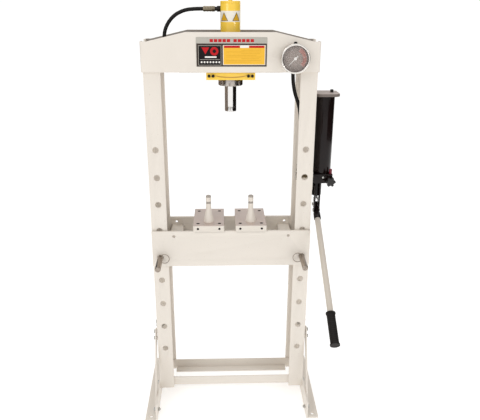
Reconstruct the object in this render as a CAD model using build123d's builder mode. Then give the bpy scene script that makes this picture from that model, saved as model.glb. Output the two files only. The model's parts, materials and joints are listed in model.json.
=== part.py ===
"""Hydraulic shop press with a hand pump, as separately named parts in one frame.

Millimetres, +Z up. The origin is on the floor under the ram axis, X to the right, front is -Y.
"""

import math
import os

from build123d import *

os.makedirs("parts", exist_ok=True)

# ---------------------------------------------------------------- driving dimensions
SEAT_GAP = 0.3  # between parts on different bodies
RUN_FIT = 0.05  # radial running fit of a shaft or slide
LOOSE_FIT = 0.1  # radial fit of a nut, plug or tube in its seat

OUTER_X = 305.0  # outer face of the upright webs
CHANNEL_DEPTH = 140.0
CHANNEL_FLANGE = 60.0
CHANNEL_WALL = 7.0
CHANNEL_ROOT_R = 6.0
CHANNEL_TOE_R = 4.0
UPRIGHT_BOTTOM = 53.0
UPRIGHT_TOP = 1450.0
PIN_HOLE_PLAY = 2.0  # pin hole over pin diameter
PIN_HOLE_PITCH = 106.0
PIN_HOLE_TOP_Z = 1100.0
PIN_HOLE_COUNT = 9
BED_LEVEL = 4  # pin hole that carries the bed, counted from the top

HEAD_PLATE_T = 6.0
HEAD_BELOW_TOP = 72.0  # head plates below the top of the uprights
HEAD_SHOULDER_H = 103.0
HEAD_H = 134.0
HEAD_PEAK_X = 155.0
HEAD_SHOULDER_INSET = 17.0
HEAD_RETURN = 30.0
HEAD_CORNER_R = 8.0
FLOOR_PLATE_T = 12.0
FLOOR_PLATE_X = 360.0
GUSSET_X = 95.0
GUSSET_T = 8.0
GUSSET_RISE = 92.0
HOSE_PASS_D = 26.0

CYL_D = 70.0
CYL_WALL = 7.0
CYL_BELOW_MOUNT = 17.0
CYL_RISE = 225.0
CYL_CAP_T = 8.0
PORT_BELOW_TOP = 18.0
MOUNT_X = 172.0
MOUNT_Y = 120.0
MOUNT_T = 28.0
RING_NUT_RIM = 9.0
RING_NUT_H = 25.0
RING_NUT_SLOT = 8.0
RAM_D = 42.0
RAM_REACH = 148.0
RAM_TIP_H = 17.0
RAM_GROOVE = 1.5
RAM_NECK_D = 34.0
RAM_STUD_D = 20.0
RAM_STUD_L = 26.0
PISTON_BELOW_PORT = 40.0
PISTON_H = 30.0

BED_T = 10.0
BED_CLEARANCE = 2.0  # between the bed plates and the upright flanges
BED_BOTTOM = 637.0
BED_TOP = 783.0
BED_LIFT_HOLE_D = 11.0
BED_LIFT_HOLE_INSET = 85.0
BED_LIFT_HOLE_Z = 763.0
BED_BOX_INSET = 65.0
BED_BOX_W = 50.0
BED_BOX_H = 90.0
BED_BOX_WALL = 5.0
BED_BOX_BELOW_TOP = 31.0
BED_TIE_X = 80.0
BED_TIE_D = 30.0
BED_TIE_Z = 668.0
BED_PIN_D = 22.0
BED_PIN_OUT_FRONT = 120.0
BED_PIN_OUT_BACK = 22.0
RING_HOLE_OUT = 25.0
RING_CLEAR = 7.5  # between the pin and the outside of the ring
RING_WIRE_D = 3.0
RING_HOLE_PLAY = 0.7

BLOCK_X = 118.0
BLOCK_Y = 188.0
BLOCK_T = 25.0
BLOCK_MID_Y = 6.0
LEFT_BLOCK_X = -86.0
RIGHT_BLOCK_X = 76.0
BLOCK_HOLE_D = 13.0
BLOCK_HOLE_X = 82.0
BLOCK_HOLE_Y = 135.0
BLOCK_FRONT_HOLE_D = 9.0
BLOCK_FRONT_HOLE_DEPTH = 14.0
KNOB_STEM_R = 10.0
KNOB_FOOT_R = 20.5
KNOB_FOOT_H = 49.0
KNOB_H = 106.0
KNOB_Y = -38.5
KNOB_BAND_H = 4.0
KNOB_BAND_R = 8.6
KNOB_BAND_BELOW = 25.0
KNOB_EDGE = 2.0
KNOB_FOOT_RIM = 3.0

ANGLE_LEG = 40.0
ANGLE_T = 4.0
CROSSBAR_BOTTOM = 63.0
CROSSBAR_INSET = 15.0
CROSSBAR_TRIM_GAP = 2.0
FOOT_LEG_V = 80.0
FOOT_LEG_H = 50.0
FOOT_T = 6.0
FOOT_HALF_Y = 213.0
ANCHOR_D = 14.0
ANCHOR_OUT = 28.0
ANCHOR_Y = 190.0
BRACE_T = 5.0
BRACE_W = 30.0
BRACE_LOW = (167.0, 22.0)
BRACE_HIGH = (39.0, 315.0)
BRACE_BOLT_PITCH = 27.0
BRACE_END = 15.0
FOOT_BOLT = (40.0, 61.0)

BOLT_D = 8.0
BOLT_HOLE_D = 9.0
HEX_FLAT_R = 6.5
HEX_HEAD_H = 5.3
HEX_NUT_H = 6.5
WASHER_D = 16.0
WASHER_T = 1.6
BOLT_TAIL = 3.0
CAP_SCREW_D = 6.0
CAP_SCREW_HEAD_D = 10.0
CAP_SCREW_HEAD_H = 5.0
CAP_SCREW_SOCKET_R = 2.5
CAP_SCREW_SOCKET_H = 3.0
CAP_SCREW_DEPTH = 12.0
FRONT_SCREW_X = (-76.0, -62.0, 62.0, 76.0)
MOUNT_BOLT_X = 68.0
MOUNT_BOLT_Y = 40.0
MOUNT_BOLT_DEPTH = 20.0

GAUGE_INSET = 85.0
GAUGE_RISE = 49.0
GAUGE_R = 50.0
GAUGE_WALL = 2.0
GAUGE_STAND_OFF = 4.0
GAUGE_CASE_DEPTH = 25.0
BEZEL_DEPTH = 7.0
DIAL_RECESS = 5.0
DIAL_T = 1.0
LENS_T = 2.1
BEZEL_WINDOW_R = 44.0
BEZEL_SKIRT = 8.0
POINTER_CLEAR = 2.4
POINTER_T = 1.0
POINTER_HUB_R = 5.0
POINTER_L = 33.0
POINTER_TAIL = 12.0
POINTER_W = 3.4
POINTER_ANGLE = 225.0
SPINDLE_R = 1.5
GAUGE_PLUG_R = 6.0
GAUGE_PLUG_H = 7.0
GAUGE_PLUG_OUT = 11.0
TEE_BEHIND_FACE = 22.0
TEE_SIZE = 24.0
STEM_D = 14.0
STEM_HOLE_D = 17.0

HOSE_D = 13.0
HOSE_BORE = 6.5
PORT_HEX_R = 9.5
PORT_HEX_H = 11.0
PORT_NIPPLE_D = 13.0
PORT_WALL_DEPTH = 6.0
PORT_COLLAR_H = 8.0
SLEEVE_D = 19.0
SLEEVE_HEX_R = 9.0
SLEEVE_HEX_H = 10.0
SLEEVE_RIB = 0.8
SLEEVE_RIB_W = 3.0
LONG_SLEEVE = 40.0
SHORT_SLEEVE = 29.0
NIPPLE_H = 8.0

PLATE_LEFT = -119.0
PLATE_RIGHT = 125.0
PLATE_RISE = 19.0
PLATE_H = 99.0
PLATE_T = 1.0
PLATE_CORNER_R = 3.0

PUMP_BLOCK_X = 75.0
PUMP_BLOCK_Y = 80.0
PUMP_BLOCK_BOTTOM = 960.0
PUMP_BLOCK_TOP = 995.0
PUMP_EDGE = 3.0
BRACKET_BOTTOM = 935.0
BRACKET_TOP = 1005.0
RESERVOIR_D = 70.0
RESERVOIR_WALL = 3.0
RESERVOIR_TOP = 1287.0
RESERVOIR_CAP_SHIFT = 3.0
RESERVOIR_CAP_SIZE = 88.0
RESERVOIR_CAP_T = 11.0
RESERVOIR_CAP_CORNER = 12.0
VENT_SHIFT = 22.5
VENT_D = 12.0
VENT_HEAD_H = 10.0
VENT_STEM_D = 8.0
VENT_STEM_L = 8.0
ELBOW_INSET = 43.0
PORT_LINE_Z = 977.0
ELBOW_SIZE = 24.0
WEB_PORT_D = 30.0
PUMP_BOLT_Y = 28.0
PUMP_BOLT_Z = (968.0, 986.0)
PUMP_BOLT_DEPTH = 14.0
RED_CAP_SHIFT = 35.5
RED_CAP_Y = -31.0
RED_CAP_R = 5.5
RED_CAP_H = 19.0
BLEED_SHIFT = 1.0
BLEED_Z = 984.0
BLEED_SCREW_R = 4.0
BLEED_SCREW_H = 4.0

LEVER_OUT = 22.0
PLUNGER_Z = 862.0  # plunger pin height with the handle down
HANDLE_DROP = 31.0  # degrees below level with the handle down
FULCRUM_Y = -26.0
FULCRUM_D = 10.0
FULCRUM_EYE_R = 9.0
EAR_W = 14.0
EAR_T = 5.0
LEVER_T = 12.0
LEVER_HALF_W = 11.0
LEVER_PLATE_END = 50.0
PLUNGER_PIN_D = 8.0
PIN_SLOT_CLEARANCE = 0.8
PIN_SLOT_TRAVEL = 5.6
PIN_SLOT_MID = 2.2
SOCKET_START = 46.0
SOCKET_END = 74.0
SOCKET_R = 13.5
POLE_D = 21.5
POLE_WALL = 2.5
POLE_END = 590.0
GRIP_START = 478.0
GRIP_END = 598.0
GRIP_D = 30.0
GRIP_FLANGE_D = 34.0
GRIP_FLANGE_T = 5.0
BARREL_D = 38.0
BARREL_BOTTOM = 902.0
BARREL_COLLAR_D = 42.0
BARREL_COLLAR_H = 8.0
PLUNGER_D = 13.0
PLUNGER_TOP = 967.0
PLUNGER_BORE_TOP = 972.0
CLEVIS_X = 10.3
CLEVIS_Y = 16.0
CLEVIS_BOTTOM = 851.0
CLEVIS_TOP = 889.0
CLEVIS_SLOT_TOP = 882.0
RELEASE_SHIFT = 26.5
RELEASE_Z = 972.0
RELEASE_R = 14.0
RELEASE_LOBES = 6
RELEASE_LOBE_R = 5.0
RELEASE_FRONT_Y = -68.0
RELEASE_BACK_Y = -54.0
RELEASE_STEM_D = 8.0
RELEASE_STEM_DEPTH = 15.0

# ---------------------------------------------------------------- derived positions
HALF_DEPTH = CHANNEL_DEPTH / 2
WEB_INNER_X = OUTER_X - CHANNEL_WALL
TOE_X = OUTER_X - CHANNEL_FLANGE
HEAD_BOTTOM = UPRIGHT_TOP - HEAD_BELOW_TOP
HEAD_SHOULDER_Z = HEAD_BOTTOM + HEAD_SHOULDER_H
HEAD_TOP = HEAD_BOTTOM + HEAD_H
HEAD_SHOULDER_X = OUTER_X - HEAD_SHOULDER_INSET
GUSSET_TOP = HEAD_BOTTOM + GUSSET_RISE
MOUNT_BOTTOM = HEAD_BOTTOM - MOUNT_T
CYL_BOTTOM = MOUNT_BOTTOM - CYL_BELOW_MOUNT
CYL_BORE = CYL_D - 2 * CYL_WALL
RING_NUT_D = CYL_D + 2 * RING_NUT_RIM
RING_NUT_BOTTOM = MOUNT_BOTTOM - RING_NUT_H
CYL_TUBE_TOP = HEAD_BOTTOM + CYL_RISE
PORT_Z = CYL_TUBE_TOP - PORT_BELOW_TOP
PISTON_BOTTOM = PORT_Z - PISTON_BELOW_PORT
RAM_BOTTOM = HEAD_BOTTOM - RAM_REACH
PLATE_BOTTOM = HEAD_BOTTOM + PLATE_RISE
PLATE_TOP = PLATE_BOTTOM + PLATE_H
CROSSBAR_HALF = OUTER_X - CROSSBAR_INSET
CROSSBAR_TRIM_X = TOE_X - CROSSBAR_TRIM_GAP
ANCHOR_X = OUTER_X + ANCHOR_OUT
PIN_HOLE_D = BED_PIN_D + PIN_HOLE_PLAY
BED_END_X = OUTER_X - BED_BOX_INSET
BED_LIFT_HOLE_X = OUTER_X - BED_LIFT_HOLE_INSET
BED_PIN_FRONT = -HALF_DEPTH - BED_PIN_OUT_FRONT
BED_PIN_BACK = HALF_DEPTH + BED_PIN_OUT_BACK
RING_HOLE_Y = -HALF_DEPTH - RING_HOLE_OUT
RING_R = BED_PIN_D / 2 + RING_CLEAR
RING_BIAS = (RING_R - math.sqrt(RING_R**2 - (BED_PIN_D / 2) ** 2)) / 2  # centres the curved wire in the hole
RING_HOLE_D = 2 * (RING_BIAS + RING_WIRE_D / 2 + RING_HOLE_PLAY)
HOLE_LINE_X = OUTER_X - CHANNEL_FLANGE / 2
PIN_HOLES_Z = [PIN_HOLE_TOP_Z - PIN_HOLE_PITCH * n for n in range(PIN_HOLE_COUNT)]
PIN_Z = PIN_HOLES_Z[BED_LEVEL] - (PIN_HOLE_D - BED_PIN_D) / 2 + SEAT_GAP
BED_HOLE_Z = PIN_Z - (PIN_HOLE_D - BED_PIN_D) / 2 + SEAT_GAP
HEAD_FRONT_Y = -HALF_DEPTH - HEAD_PLATE_T
BED_INNER_Y = HALF_DEPTH + BED_CLEARANCE
BRACKET_X = OUTER_X + FOOT_T
GAUGE_X = OUTER_X - GAUGE_INSET
GAUGE_Z = HEAD_BOTTOM + GAUGE_RISE
GAUGE_BACK_Y = HEAD_FRONT_Y - GAUGE_STAND_OFF
GAUGE_RIM_Y = GAUGE_BACK_Y - GAUGE_CASE_DEPTH
GAUGE_FRONT_Y = GAUGE_RIM_Y - BEZEL_DEPTH
DIAL_SEAT_Y = GAUGE_RIM_Y + DIAL_RECESS
BEZEL_SKIRT_Y = GAUGE_RIM_Y + BEZEL_SKIRT
POINTER_BACK_Y = DIAL_SEAT_Y - POINTER_CLEAR
GAUGE_PLUG_Y = GAUGE_BACK_Y - GAUGE_PLUG_OUT
TEE_Y = -HALF_DEPTH + TEE_BEHIND_FACE
PUMP_X = BRACKET_X + PUMP_BLOCK_X / 2
RESERVOIR_CAP_X = PUMP_X + RESERVOIR_CAP_SHIFT
VENT_X = PUMP_X + VENT_SHIFT
ELBOW_X = OUTER_X - ELBOW_INSET
RED_CAP = (PUMP_X + RED_CAP_SHIFT - RED_CAP_R, RED_CAP_Y)
BLEED_SCREW = (PUMP_X + BLEED_SHIFT, BLEED_Z)
LEVER_X = BRACKET_X + LEVER_OUT
RELEASE_X = PUMP_X + RELEASE_SHIFT
PUMP_FRONT_Y = -PUMP_BLOCK_Y / 2
HANDLE_RAD = math.radians(HANDLE_DROP)
FULCRUM_T = -FULCRUM_Y / math.cos(HANDLE_RAD)
FULCRUM_Z = PLUNGER_Z - FULCRUM_T * math.sin(HANDLE_RAD)
HANDLE_DIR = (0, -math.cos(HANDLE_RAD), -math.sin(HANDLE_RAD))
BRACE_RAD = math.atan2(BRACE_HIGH[1] - BRACE_LOW[1], BRACE_LOW[0] - BRACE_HIGH[0])
BRACE_L = math.hypot(BRACE_LOW[0] - BRACE_HIGH[0], BRACE_HIGH[1] - BRACE_LOW[1])
BRACE_SECOND = (
    BRACE_HIGH[0] + BRACE_BOLT_PITCH * math.cos(BRACE_RAD),
    BRACE_HIGH[1] - BRACE_BOLT_PITCH * math.sin(BRACE_RAD),
)
UPPER_HOSE = [
    (-94, 0, 1585),
    (-131, 0, 1585),
    (-166, 0, 1579),
    (-202, 0, 1559),
    (-228, -1, 1522),
    (-234, -3, 1481),
    (-212, -9, 1442),
    (-172, -23, 1421),
    (-126, -40, 1418),
    (-60, -51, 1422),
    (30, -53, 1428),
    (98, -48, 1427),
    (160, -48, 1427),
]
LOWER_HOSE = [
    (220, -48, 1378),
    (220, -48, 1325),
    (254, -24, 1243),
    (262, -6, 1165),
    (262, 0, 1090),
    (262, 0, 1026),
]


# ---------------------------------------------------------------- shared shapes
def corner_radii(points, label):
    """Largest tangent arc at each corner of a hose route, from its shorter run."""
    route = [Vector(*point) for point in points]
    radii = []
    for before, here, after in zip(route, route[1:], route[2:]):
        shorter = min((here - before).length, (after - here).length)
        half_turn = math.radians((here - before).get_angle(after - here)) / 2
        radii.append(0.45 * shorter / math.tan(half_turn))
    print(label, "corner radii", [round(radius) for radius in radii])
    return radii


def add_hose(points, label):
    """A hose wall swept along straight runs joined by tangent arcs."""
    with BuildLine():
        route = FilletPolyline(*points, radius=corner_radii(points, label))
    with BuildSketch(Plane(origin=route @ 0, z_dir=route % 0)) as wall:
        Circle(HOSE_D / 2)
        Circle(HOSE_BORE / 2, mode=Mode.SUBTRACT)
    hose = sweep(wall.sketch, path=route)
    expected = math.pi * (HOSE_D**2 - HOSE_BORE**2) / 4 * route.length
    print(label, "length", round(route.length, 1), "volume", round(hose.volume), "expected", round(expected))


def outward(side, x, y, z):
    """Plane on a face that looks away from the press to one side."""
    return Plane(origin=(side * x, y, z), x_dir=(0, 1, 0), z_dir=(side, 0, 0))


def disc(plane, radius, amount, mode=Mode.ADD):
    with BuildSketch(plane) as outline:
        Circle(radius)
    extrude(outline.sketch, amount=amount, mode=mode)


def hexagon(plane, flat_r, amount):
    with BuildSketch(plane) as outline:
        RegularPolygon(flat_r, 6, major_radius=False)
    extrude(outline.sketch, amount=amount)


def add_bolt(seat, depth):
    """Hex bolt with its washer; the seat's normal points out of the head."""
    disc(seat, WASHER_D / 2, WASHER_T)
    hexagon(seat.offset(WASHER_T), HEX_FLAT_R, HEX_HEAD_H)
    disc(seat, BOLT_D / 2, -depth)


def add_nut(seat):
    """Hex nut on a face; the seat's normal points away from that face."""
    with BuildSketch(seat) as outline:
        RegularPolygon(HEX_FLAT_R, 6, major_radius=False)
        Circle(BOLT_D / 2 + LOOSE_FIT, mode=Mode.SUBTRACT)
    extrude(outline.sketch, amount=HEX_NUT_H)


def add_through_bolt(side, outer_x, inner_x, y, z):
    seat = outward(side, outer_x, y, z)
    add_bolt(seat, outer_x - inner_x + HEX_NUT_H + BOLT_TAIL)
    add_nut(outward(-side, -inner_x, y, z))


def add_cap_screw(seat):
    disc(seat, CAP_SCREW_HEAD_D / 2, CAP_SCREW_HEAD_H)
    disc(seat, CAP_SCREW_D / 2, -CAP_SCREW_DEPTH)
    with BuildSketch(seat.offset(CAP_SCREW_HEAD_H)) as outline:
        RegularPolygon(CAP_SCREW_SOCKET_R, 6, major_radius=False)
    extrude(outline.sketch, amount=-CAP_SCREW_SOCKET_H, mode=Mode.SUBTRACT)


def add_sleeve(seat, length):
    """Crimped hose end: a hexagon, then a ribbed sleeve along the seat's normal."""
    hexagon(seat, SLEEVE_HEX_R, SLEEVE_HEX_H)
    disc(seat.offset(SLEEVE_HEX_H), SLEEVE_D / 2 - SLEEVE_RIB, length - SLEEVE_HEX_H)
    pitch = (length - SLEEVE_HEX_H) / 3
    for rib in range(3):
        disc(seat.offset(SLEEVE_HEX_H + pitch * (rib + 0.5) - SLEEVE_RIB_W / 2), SLEEVE_D / 2, SLEEVE_RIB_W)


def add_channel(side, web_holes):
    """Upright channel: the web outside, the open side facing the other upright."""
    with BuildSketch(Plane.XY.offset(UPRIGHT_BOTTOM)) as section:
        with Locations((side * HOLE_LINE_X, 0)):
            Rectangle(CHANNEL_FLANGE, CHANNEL_DEPTH)
        with Locations((side * (HOLE_LINE_X - CHANNEL_WALL), 0)):
            Rectangle(CHANNEL_FLANGE, CHANNEL_DEPTH - 2 * CHANNEL_WALL, mode=Mode.SUBTRACT)
        roots = [v for v in section.vertices() if abs(v.Y) < HALF_DEPTH - RUN_FIT and abs(v.X) > HOLE_LINE_X]
        fillet(roots, CHANNEL_ROOT_R)
        toes = [v for v in section.vertices() if abs(v.Y) < HALF_DEPTH - RUN_FIT and abs(v.X) < HOLE_LINE_X]
        fillet(toes, CHANNEL_TOE_R)
    extrude(section.sketch, amount=UPRIGHT_TOP - UPRIGHT_BOTTOM)
    with BuildSketch(Plane.XZ) as outline:
        with Locations(*[(side * HOLE_LINE_X, z) for z in PIN_HOLES_Z]):
            Circle(PIN_HOLE_D / 2)
    extrude(outline.sketch, amount=CHANNEL_DEPTH, both=True, mode=Mode.SUBTRACT)
    for y, z, diameter in web_holes:
        disc(outward(side, OUTER_X, y, z), diameter / 2, -CHANNEL_WALL, Mode.SUBTRACT)


def add_head_plate(inner_y, face):
    """Head side plate with bent ends that lap the upright webs."""
    corners = [
        (-OUTER_X - HEAD_PLATE_T, HEAD_BOTTOM),
        (OUTER_X + HEAD_PLATE_T, HEAD_BOTTOM),
        (OUTER_X + HEAD_PLATE_T, HEAD_SHOULDER_Z),
        (HEAD_SHOULDER_X, HEAD_SHOULDER_Z),
        (HEAD_PEAK_X, HEAD_TOP),
        (-HEAD_PEAK_X, HEAD_TOP),
        (-HEAD_SHOULDER_X, HEAD_SHOULDER_Z),
        (-OUTER_X - HEAD_PLATE_T, HEAD_SHOULDER_Z),
    ]
    with BuildSketch(Plane.XZ.offset(-inner_y)) as outline:
        Polygon(*corners, align=None)
    extrude(outline.sketch, amount=-face * HEAD_PLATE_T)
    with BuildSketch(Plane.XY.offset(HEAD_BOTTOM)) as outline:
        for side in (-1, 1):
            with Locations((side * (OUTER_X + HEAD_PLATE_T / 2), inner_y - face * HEAD_RETURN / 2)):
                Rectangle(HEAD_PLATE_T, HEAD_RETURN)
    extrude(outline.sketch, amount=HEAD_SHOULDER_Z - HEAD_BOTTOM)


def round_head_corners(part, face):
    corners = [
        edge
        for edge in part.edges().filter_by(Axis.Z)
        if abs(edge.center().X) > OUTER_X + HEAD_PLATE_T / 2 and edge.center().Y * face > HALF_DEPTH + HEAD_PLATE_T / 2
    ]
    fillet(corners, HEAD_CORNER_R)


def add_crossbar(face):
    """Angle between the uprights, one leg against the flanges and one leg inward."""
    outer_y = face * (HALF_DEPTH - CHANNEL_WALL)
    with BuildSketch(Plane.XY.offset(CROSSBAR_BOTTOM)) as outline:
        with Locations((0, outer_y - face * ANGLE_T / 2)):
            Rectangle(2 * CROSSBAR_HALF, ANGLE_T)
    extrude(outline.sketch, amount=ANGLE_LEG)
    with BuildSketch(Plane.XY.offset(CROSSBAR_BOTTOM)) as leg:
        with Locations((0, outer_y - face * ANGLE_LEG / 2)):
            Rectangle(2 * CROSSBAR_TRIM_X, ANGLE_LEG)
        tips = [v for v in leg.vertices() if abs(v.Y) < HALF_DEPTH - ANGLE_LEG]
        fillet(tips, CHANNEL_ROOT_R)
    extrude(leg.sketch, amount=ANGLE_T)


def add_foot(side):
    """Unequal angle with one leg on the web and one leg out along the floor."""
    with BuildSketch(outward(side, OUTER_X, 0, FOOT_LEG_V / 2)) as outline:
        Rectangle(2 * FOOT_HALF_Y, FOOT_LEG_V)
    extrude(outline.sketch, amount=FOOT_T)
    with BuildSketch(Plane.XY) as outline:
        with Locations((side * (OUTER_X + FOOT_LEG_H / 2), 0)):
            Rectangle(FOOT_LEG_H, 2 * FOOT_HALF_Y)
        with Locations(*[(side * ANCHOR_X, y) for y in (-ANCHOR_Y, ANCHOR_Y)]):
            Circle(ANCHOR_D / 2, mode=Mode.SUBTRACT)
    extrude(outline.sketch, amount=FOOT_T)
    for y, z in ((FOOT_BOLT[0], FOOT_BOLT[1]), (BRACE_LOW[0], BRACE_LOW[1])):
        for end in (-1, 1):
            disc(outward(side, OUTER_X + FOOT_T, end * y, z), BOLT_HOLE_D / 2, -FOOT_T, Mode.SUBTRACT)


def add_braces(side):
    """Front and rear flat bars from the foot to the web, with spacers at the top."""
    for end in (-1, 1):
        middle = ((BRACE_LOW[0] + BRACE_HIGH[0]) / 2 * end, (BRACE_LOW[1] + BRACE_HIGH[1]) / 2)
        bar = Plane(
            origin=(side * (OUTER_X + FOOT_T), *middle),
            x_dir=(0, -end * math.cos(BRACE_RAD), math.sin(BRACE_RAD)),
            z_dir=(side, 0, 0),
        )
        with BuildSketch(bar) as outline:
            SlotCenterToCenter(BRACE_L, BRACE_W)
        extrude(outline.sketch, amount=BRACE_T)
        for y, z in (BRACE_HIGH, BRACE_SECOND):
            disc(outward(side, OUTER_X, end * y, z), WASHER_D / 2, FOOT_T)
        for y, z in (BRACE_LOW, BRACE_HIGH, BRACE_SECOND):
            disc(outward(side, OUTER_X + FOOT_T + BRACE_T, end * y, z), BOLT_HOLE_D / 2, -FOOT_T - BRACE_T, Mode.SUBTRACT)


def add_bed_plate(face):
    with BuildSketch(Plane.XZ.offset(-face * BED_INNER_Y)) as outline:
        with Locations((0, (BED_BOTTOM + BED_TOP) / 2)):
            Rectangle(2 * OUTER_X, BED_TOP - BED_BOTTOM)
        with Locations(*[(side * HOLE_LINE_X, BED_HOLE_Z) for side in (-1, 1)]):
            Circle(PIN_HOLE_D / 2, mode=Mode.SUBTRACT)
        with Locations(*[(side * BED_LIFT_HOLE_X, BED_LIFT_HOLE_Z) for side in (-1, 1)]):
            Circle(BED_LIFT_HOLE_D / 2, mode=Mode.SUBTRACT)
    extrude(outline.sketch, amount=-face * BED_T)


def add_bed_pin(side):
    axis = Plane.XZ.offset(-BED_PIN_BACK).shift_origin((side * HOLE_LINE_X, BED_PIN_BACK, PIN_Z))
    disc(axis, BED_PIN_D / 2, BED_PIN_BACK - BED_PIN_FRONT)
    with BuildSketch(Plane.XY.offset(PIN_Z)) as outline:
        with Locations((side * HOLE_LINE_X, RING_HOLE_Y)):
            Circle(RING_HOLE_D / 2)
    extrude(outline.sketch, amount=BED_PIN_D, both=True, mode=Mode.SUBTRACT)


def chamfer_pin_ends(part):
    chamfer(part.edges().filter_by(GeomType.CIRCLE).group_by(Axis.Y)[0], KNOB_EDGE)
    chamfer(part.edges().filter_by(GeomType.CIRCLE).group_by(Axis.Y)[-1], KNOB_EDGE / 2)


def add_pin_ring(side):
    """Pull ring whose wire passes down through the pin's cross hole."""
    centre_x = side * (HOLE_LINE_X - RING_R + RING_BIAS)
    ring = Plane(origin=(centre_x, RING_HOLE_Y, PIN_Z), x_dir=(1, 0, 0), z_dir=(0, -1, 0))
    with Locations(ring):
        Torus(RING_R, RING_WIRE_D / 2)


def add_block(mid_x):
    with BuildSketch(Plane.XY.offset(BED_TOP)) as outline:
        with Locations((mid_x, BLOCK_MID_Y)):
            Rectangle(BLOCK_X, BLOCK_Y)
            with GridLocations(BLOCK_HOLE_X, BLOCK_HOLE_Y, 2, 2):
                Circle(BLOCK_HOLE_D / 2, mode=Mode.SUBTRACT)
    extrude(outline.sketch, amount=BLOCK_T)
    with BuildSketch(Plane.XZ.offset(BLOCK_Y / 2 - BLOCK_MID_Y)) as outline:
        with Locations((mid_x, BED_TOP + BLOCK_T / 2)):
            with GridLocations(BLOCK_HOLE_X, BLOCK_T, 2, 1):
                Circle(BLOCK_FRONT_HOLE_D / 2)
    extrude(outline.sketch, amount=-BLOCK_FRONT_HOLE_DEPTH, mode=Mode.SUBTRACT)


def add_block_post(mid_x):
    """Turned lifting post: a flared foot, a straight stem and two turned bands."""
    base = BED_TOP + BLOCK_T
    band_top = base + KNOB_H - KNOB_BAND_BELOW
    profile = [
        (0, base),
        (KNOB_FOOT_R, base),
        (KNOB_FOOT_R, base + KNOB_FOOT_RIM),
        (KNOB_STEM_R, base + KNOB_FOOT_H),
        (KNOB_STEM_R, band_top - KNOB_BAND_H),
        (KNOB_BAND_R, band_top - KNOB_BAND_H),
        (KNOB_BAND_R, band_top),
        (KNOB_STEM_R, band_top),
        (KNOB_STEM_R, base + KNOB_H - KNOB_EDGE),
        (KNOB_STEM_R - KNOB_EDGE, base + KNOB_H),
        (0, base + KNOB_H),
    ]
    post = Plane(origin=(mid_x, KNOB_Y, 0), x_dir=(1, 0, 0), z_dir=(0, -1, 0))
    with BuildSketch(post) as outline:
        Polygon(*profile, align=None)
    revolve(outline.sketch, axis=Axis((mid_x, KNOB_Y, 0), (0, 0, 1)))


def gauge_plane(y):
    """Plane of the gauge face at a depth, its normal toward the front."""
    return Plane(origin=(GAUGE_X, y, GAUGE_Z), x_dir=(1, 0, 0), z_dir=(0, -1, 0))


def handle_plane(t):
    """Plane across the pump handle at a distance from the plunger pin."""
    origin = (LEVER_X, HANDLE_DIR[1] * t, PLUNGER_Z + HANDLE_DIR[2] * t)
    return Plane(origin=origin, x_dir=(1, 0, 0), z_dir=HANDLE_DIR)


# ---------------------------------------------------------------- frame
web_bolts = [(end * FOOT_BOLT[0], FOOT_BOLT[1], BOLT_HOLE_D) for end in (-1, 1)]
web_bolts += [(end * BRACE_HIGH[0], BRACE_HIGH[1], BOLT_HOLE_D) for end in (-1, 1)]
web_bolts += [(end * BRACE_SECOND[0], BRACE_SECOND[1], BOLT_HOLE_D) for end in (-1, 1)]
pump_holes = [(end * PUMP_BOLT_Y, z, BOLT_HOLE_D) for end in (-1, 1) for z in PUMP_BOLT_Z]
pump_holes += [(0, PORT_LINE_Z, WEB_PORT_D)]

with BuildPart() as left_upright:
    add_channel(-1, web_bolts)
left_upright.part.label = "left_upright"
export_step(left_upright.part, "parts/left_upright.step")

with BuildPart() as right_upright:
    add_channel(1, web_bolts + pump_holes)
right_upright.part.label = "right_upright"
export_step(right_upright.part, "parts/right_upright.step")

with BuildPart() as head_front_plate:
    add_head_plate(-HALF_DEPTH, -1)
    round_head_corners(head_front_plate.part, -1)
    disc(gauge_plane(-HALF_DEPTH), STEM_HOLE_D / 2, HEAD_PLATE_T, Mode.SUBTRACT)
head_front_plate.part.label = "head_front_plate"
export_step(head_front_plate.part, "parts/head_front_plate.step")

with BuildPart() as head_rear_plate:
    add_head_plate(HALF_DEPTH, 1)
    round_head_corners(head_rear_plate.part, 1)
head_rear_plate.part.label = "head_rear_plate"
export_step(head_rear_plate.part, "parts/head_rear_plate.step")

# Floor of the head, which carries the cylinder, with two gussets welded across.
with BuildPart() as head_floor:
    with BuildSketch(Plane.XY.offset(HEAD_BOTTOM)):
        Rectangle(FLOOR_PLATE_X, CHANNEL_DEPTH)
        Circle(CYL_D / 2 + SEAT_GAP, mode=Mode.SUBTRACT)
        with GridLocations(2 * MOUNT_BOLT_X, 2 * MOUNT_BOLT_Y, 2, 2):
            Circle(BOLT_HOLE_D / 2, mode=Mode.SUBTRACT)
    extrude(amount=FLOOR_PLATE_T)
    with BuildSketch(Plane.XY.offset(HEAD_BOTTOM + FLOOR_PLATE_T)):
        with GridLocations(2 * GUSSET_X, 0, 2, 1):
            Rectangle(GUSSET_T, CHANNEL_DEPTH)
    extrude(amount=GUSSET_TOP - HEAD_BOTTOM - FLOOR_PLATE_T)
    with BuildSketch(Plane.YZ):
        with Locations((TEE_Y, GAUGE_Z - GUSSET_T / 2)):
            Circle(HOSE_PASS_D / 2)
    extrude(amount=GUSSET_X + GUSSET_T, both=True, mode=Mode.SUBTRACT)
head_floor.part.label = "head_floor"
export_step(head_floor.part, "parts/head_floor.step")

with BuildPart() as front_crossbar:
    add_crossbar(-1)
front_crossbar.part.label = "front_crossbar"
export_step(front_crossbar.part, "parts/front_crossbar.step")

with BuildPart() as rear_crossbar:
    add_crossbar(1)
rear_crossbar.part.label = "rear_crossbar"
export_step(rear_crossbar.part, "parts/rear_crossbar.step")

with BuildPart() as left_foot:
    add_foot(-1)
left_foot.part.label = "left_foot"
export_step(left_foot.part, "parts/left_foot.step")

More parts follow.
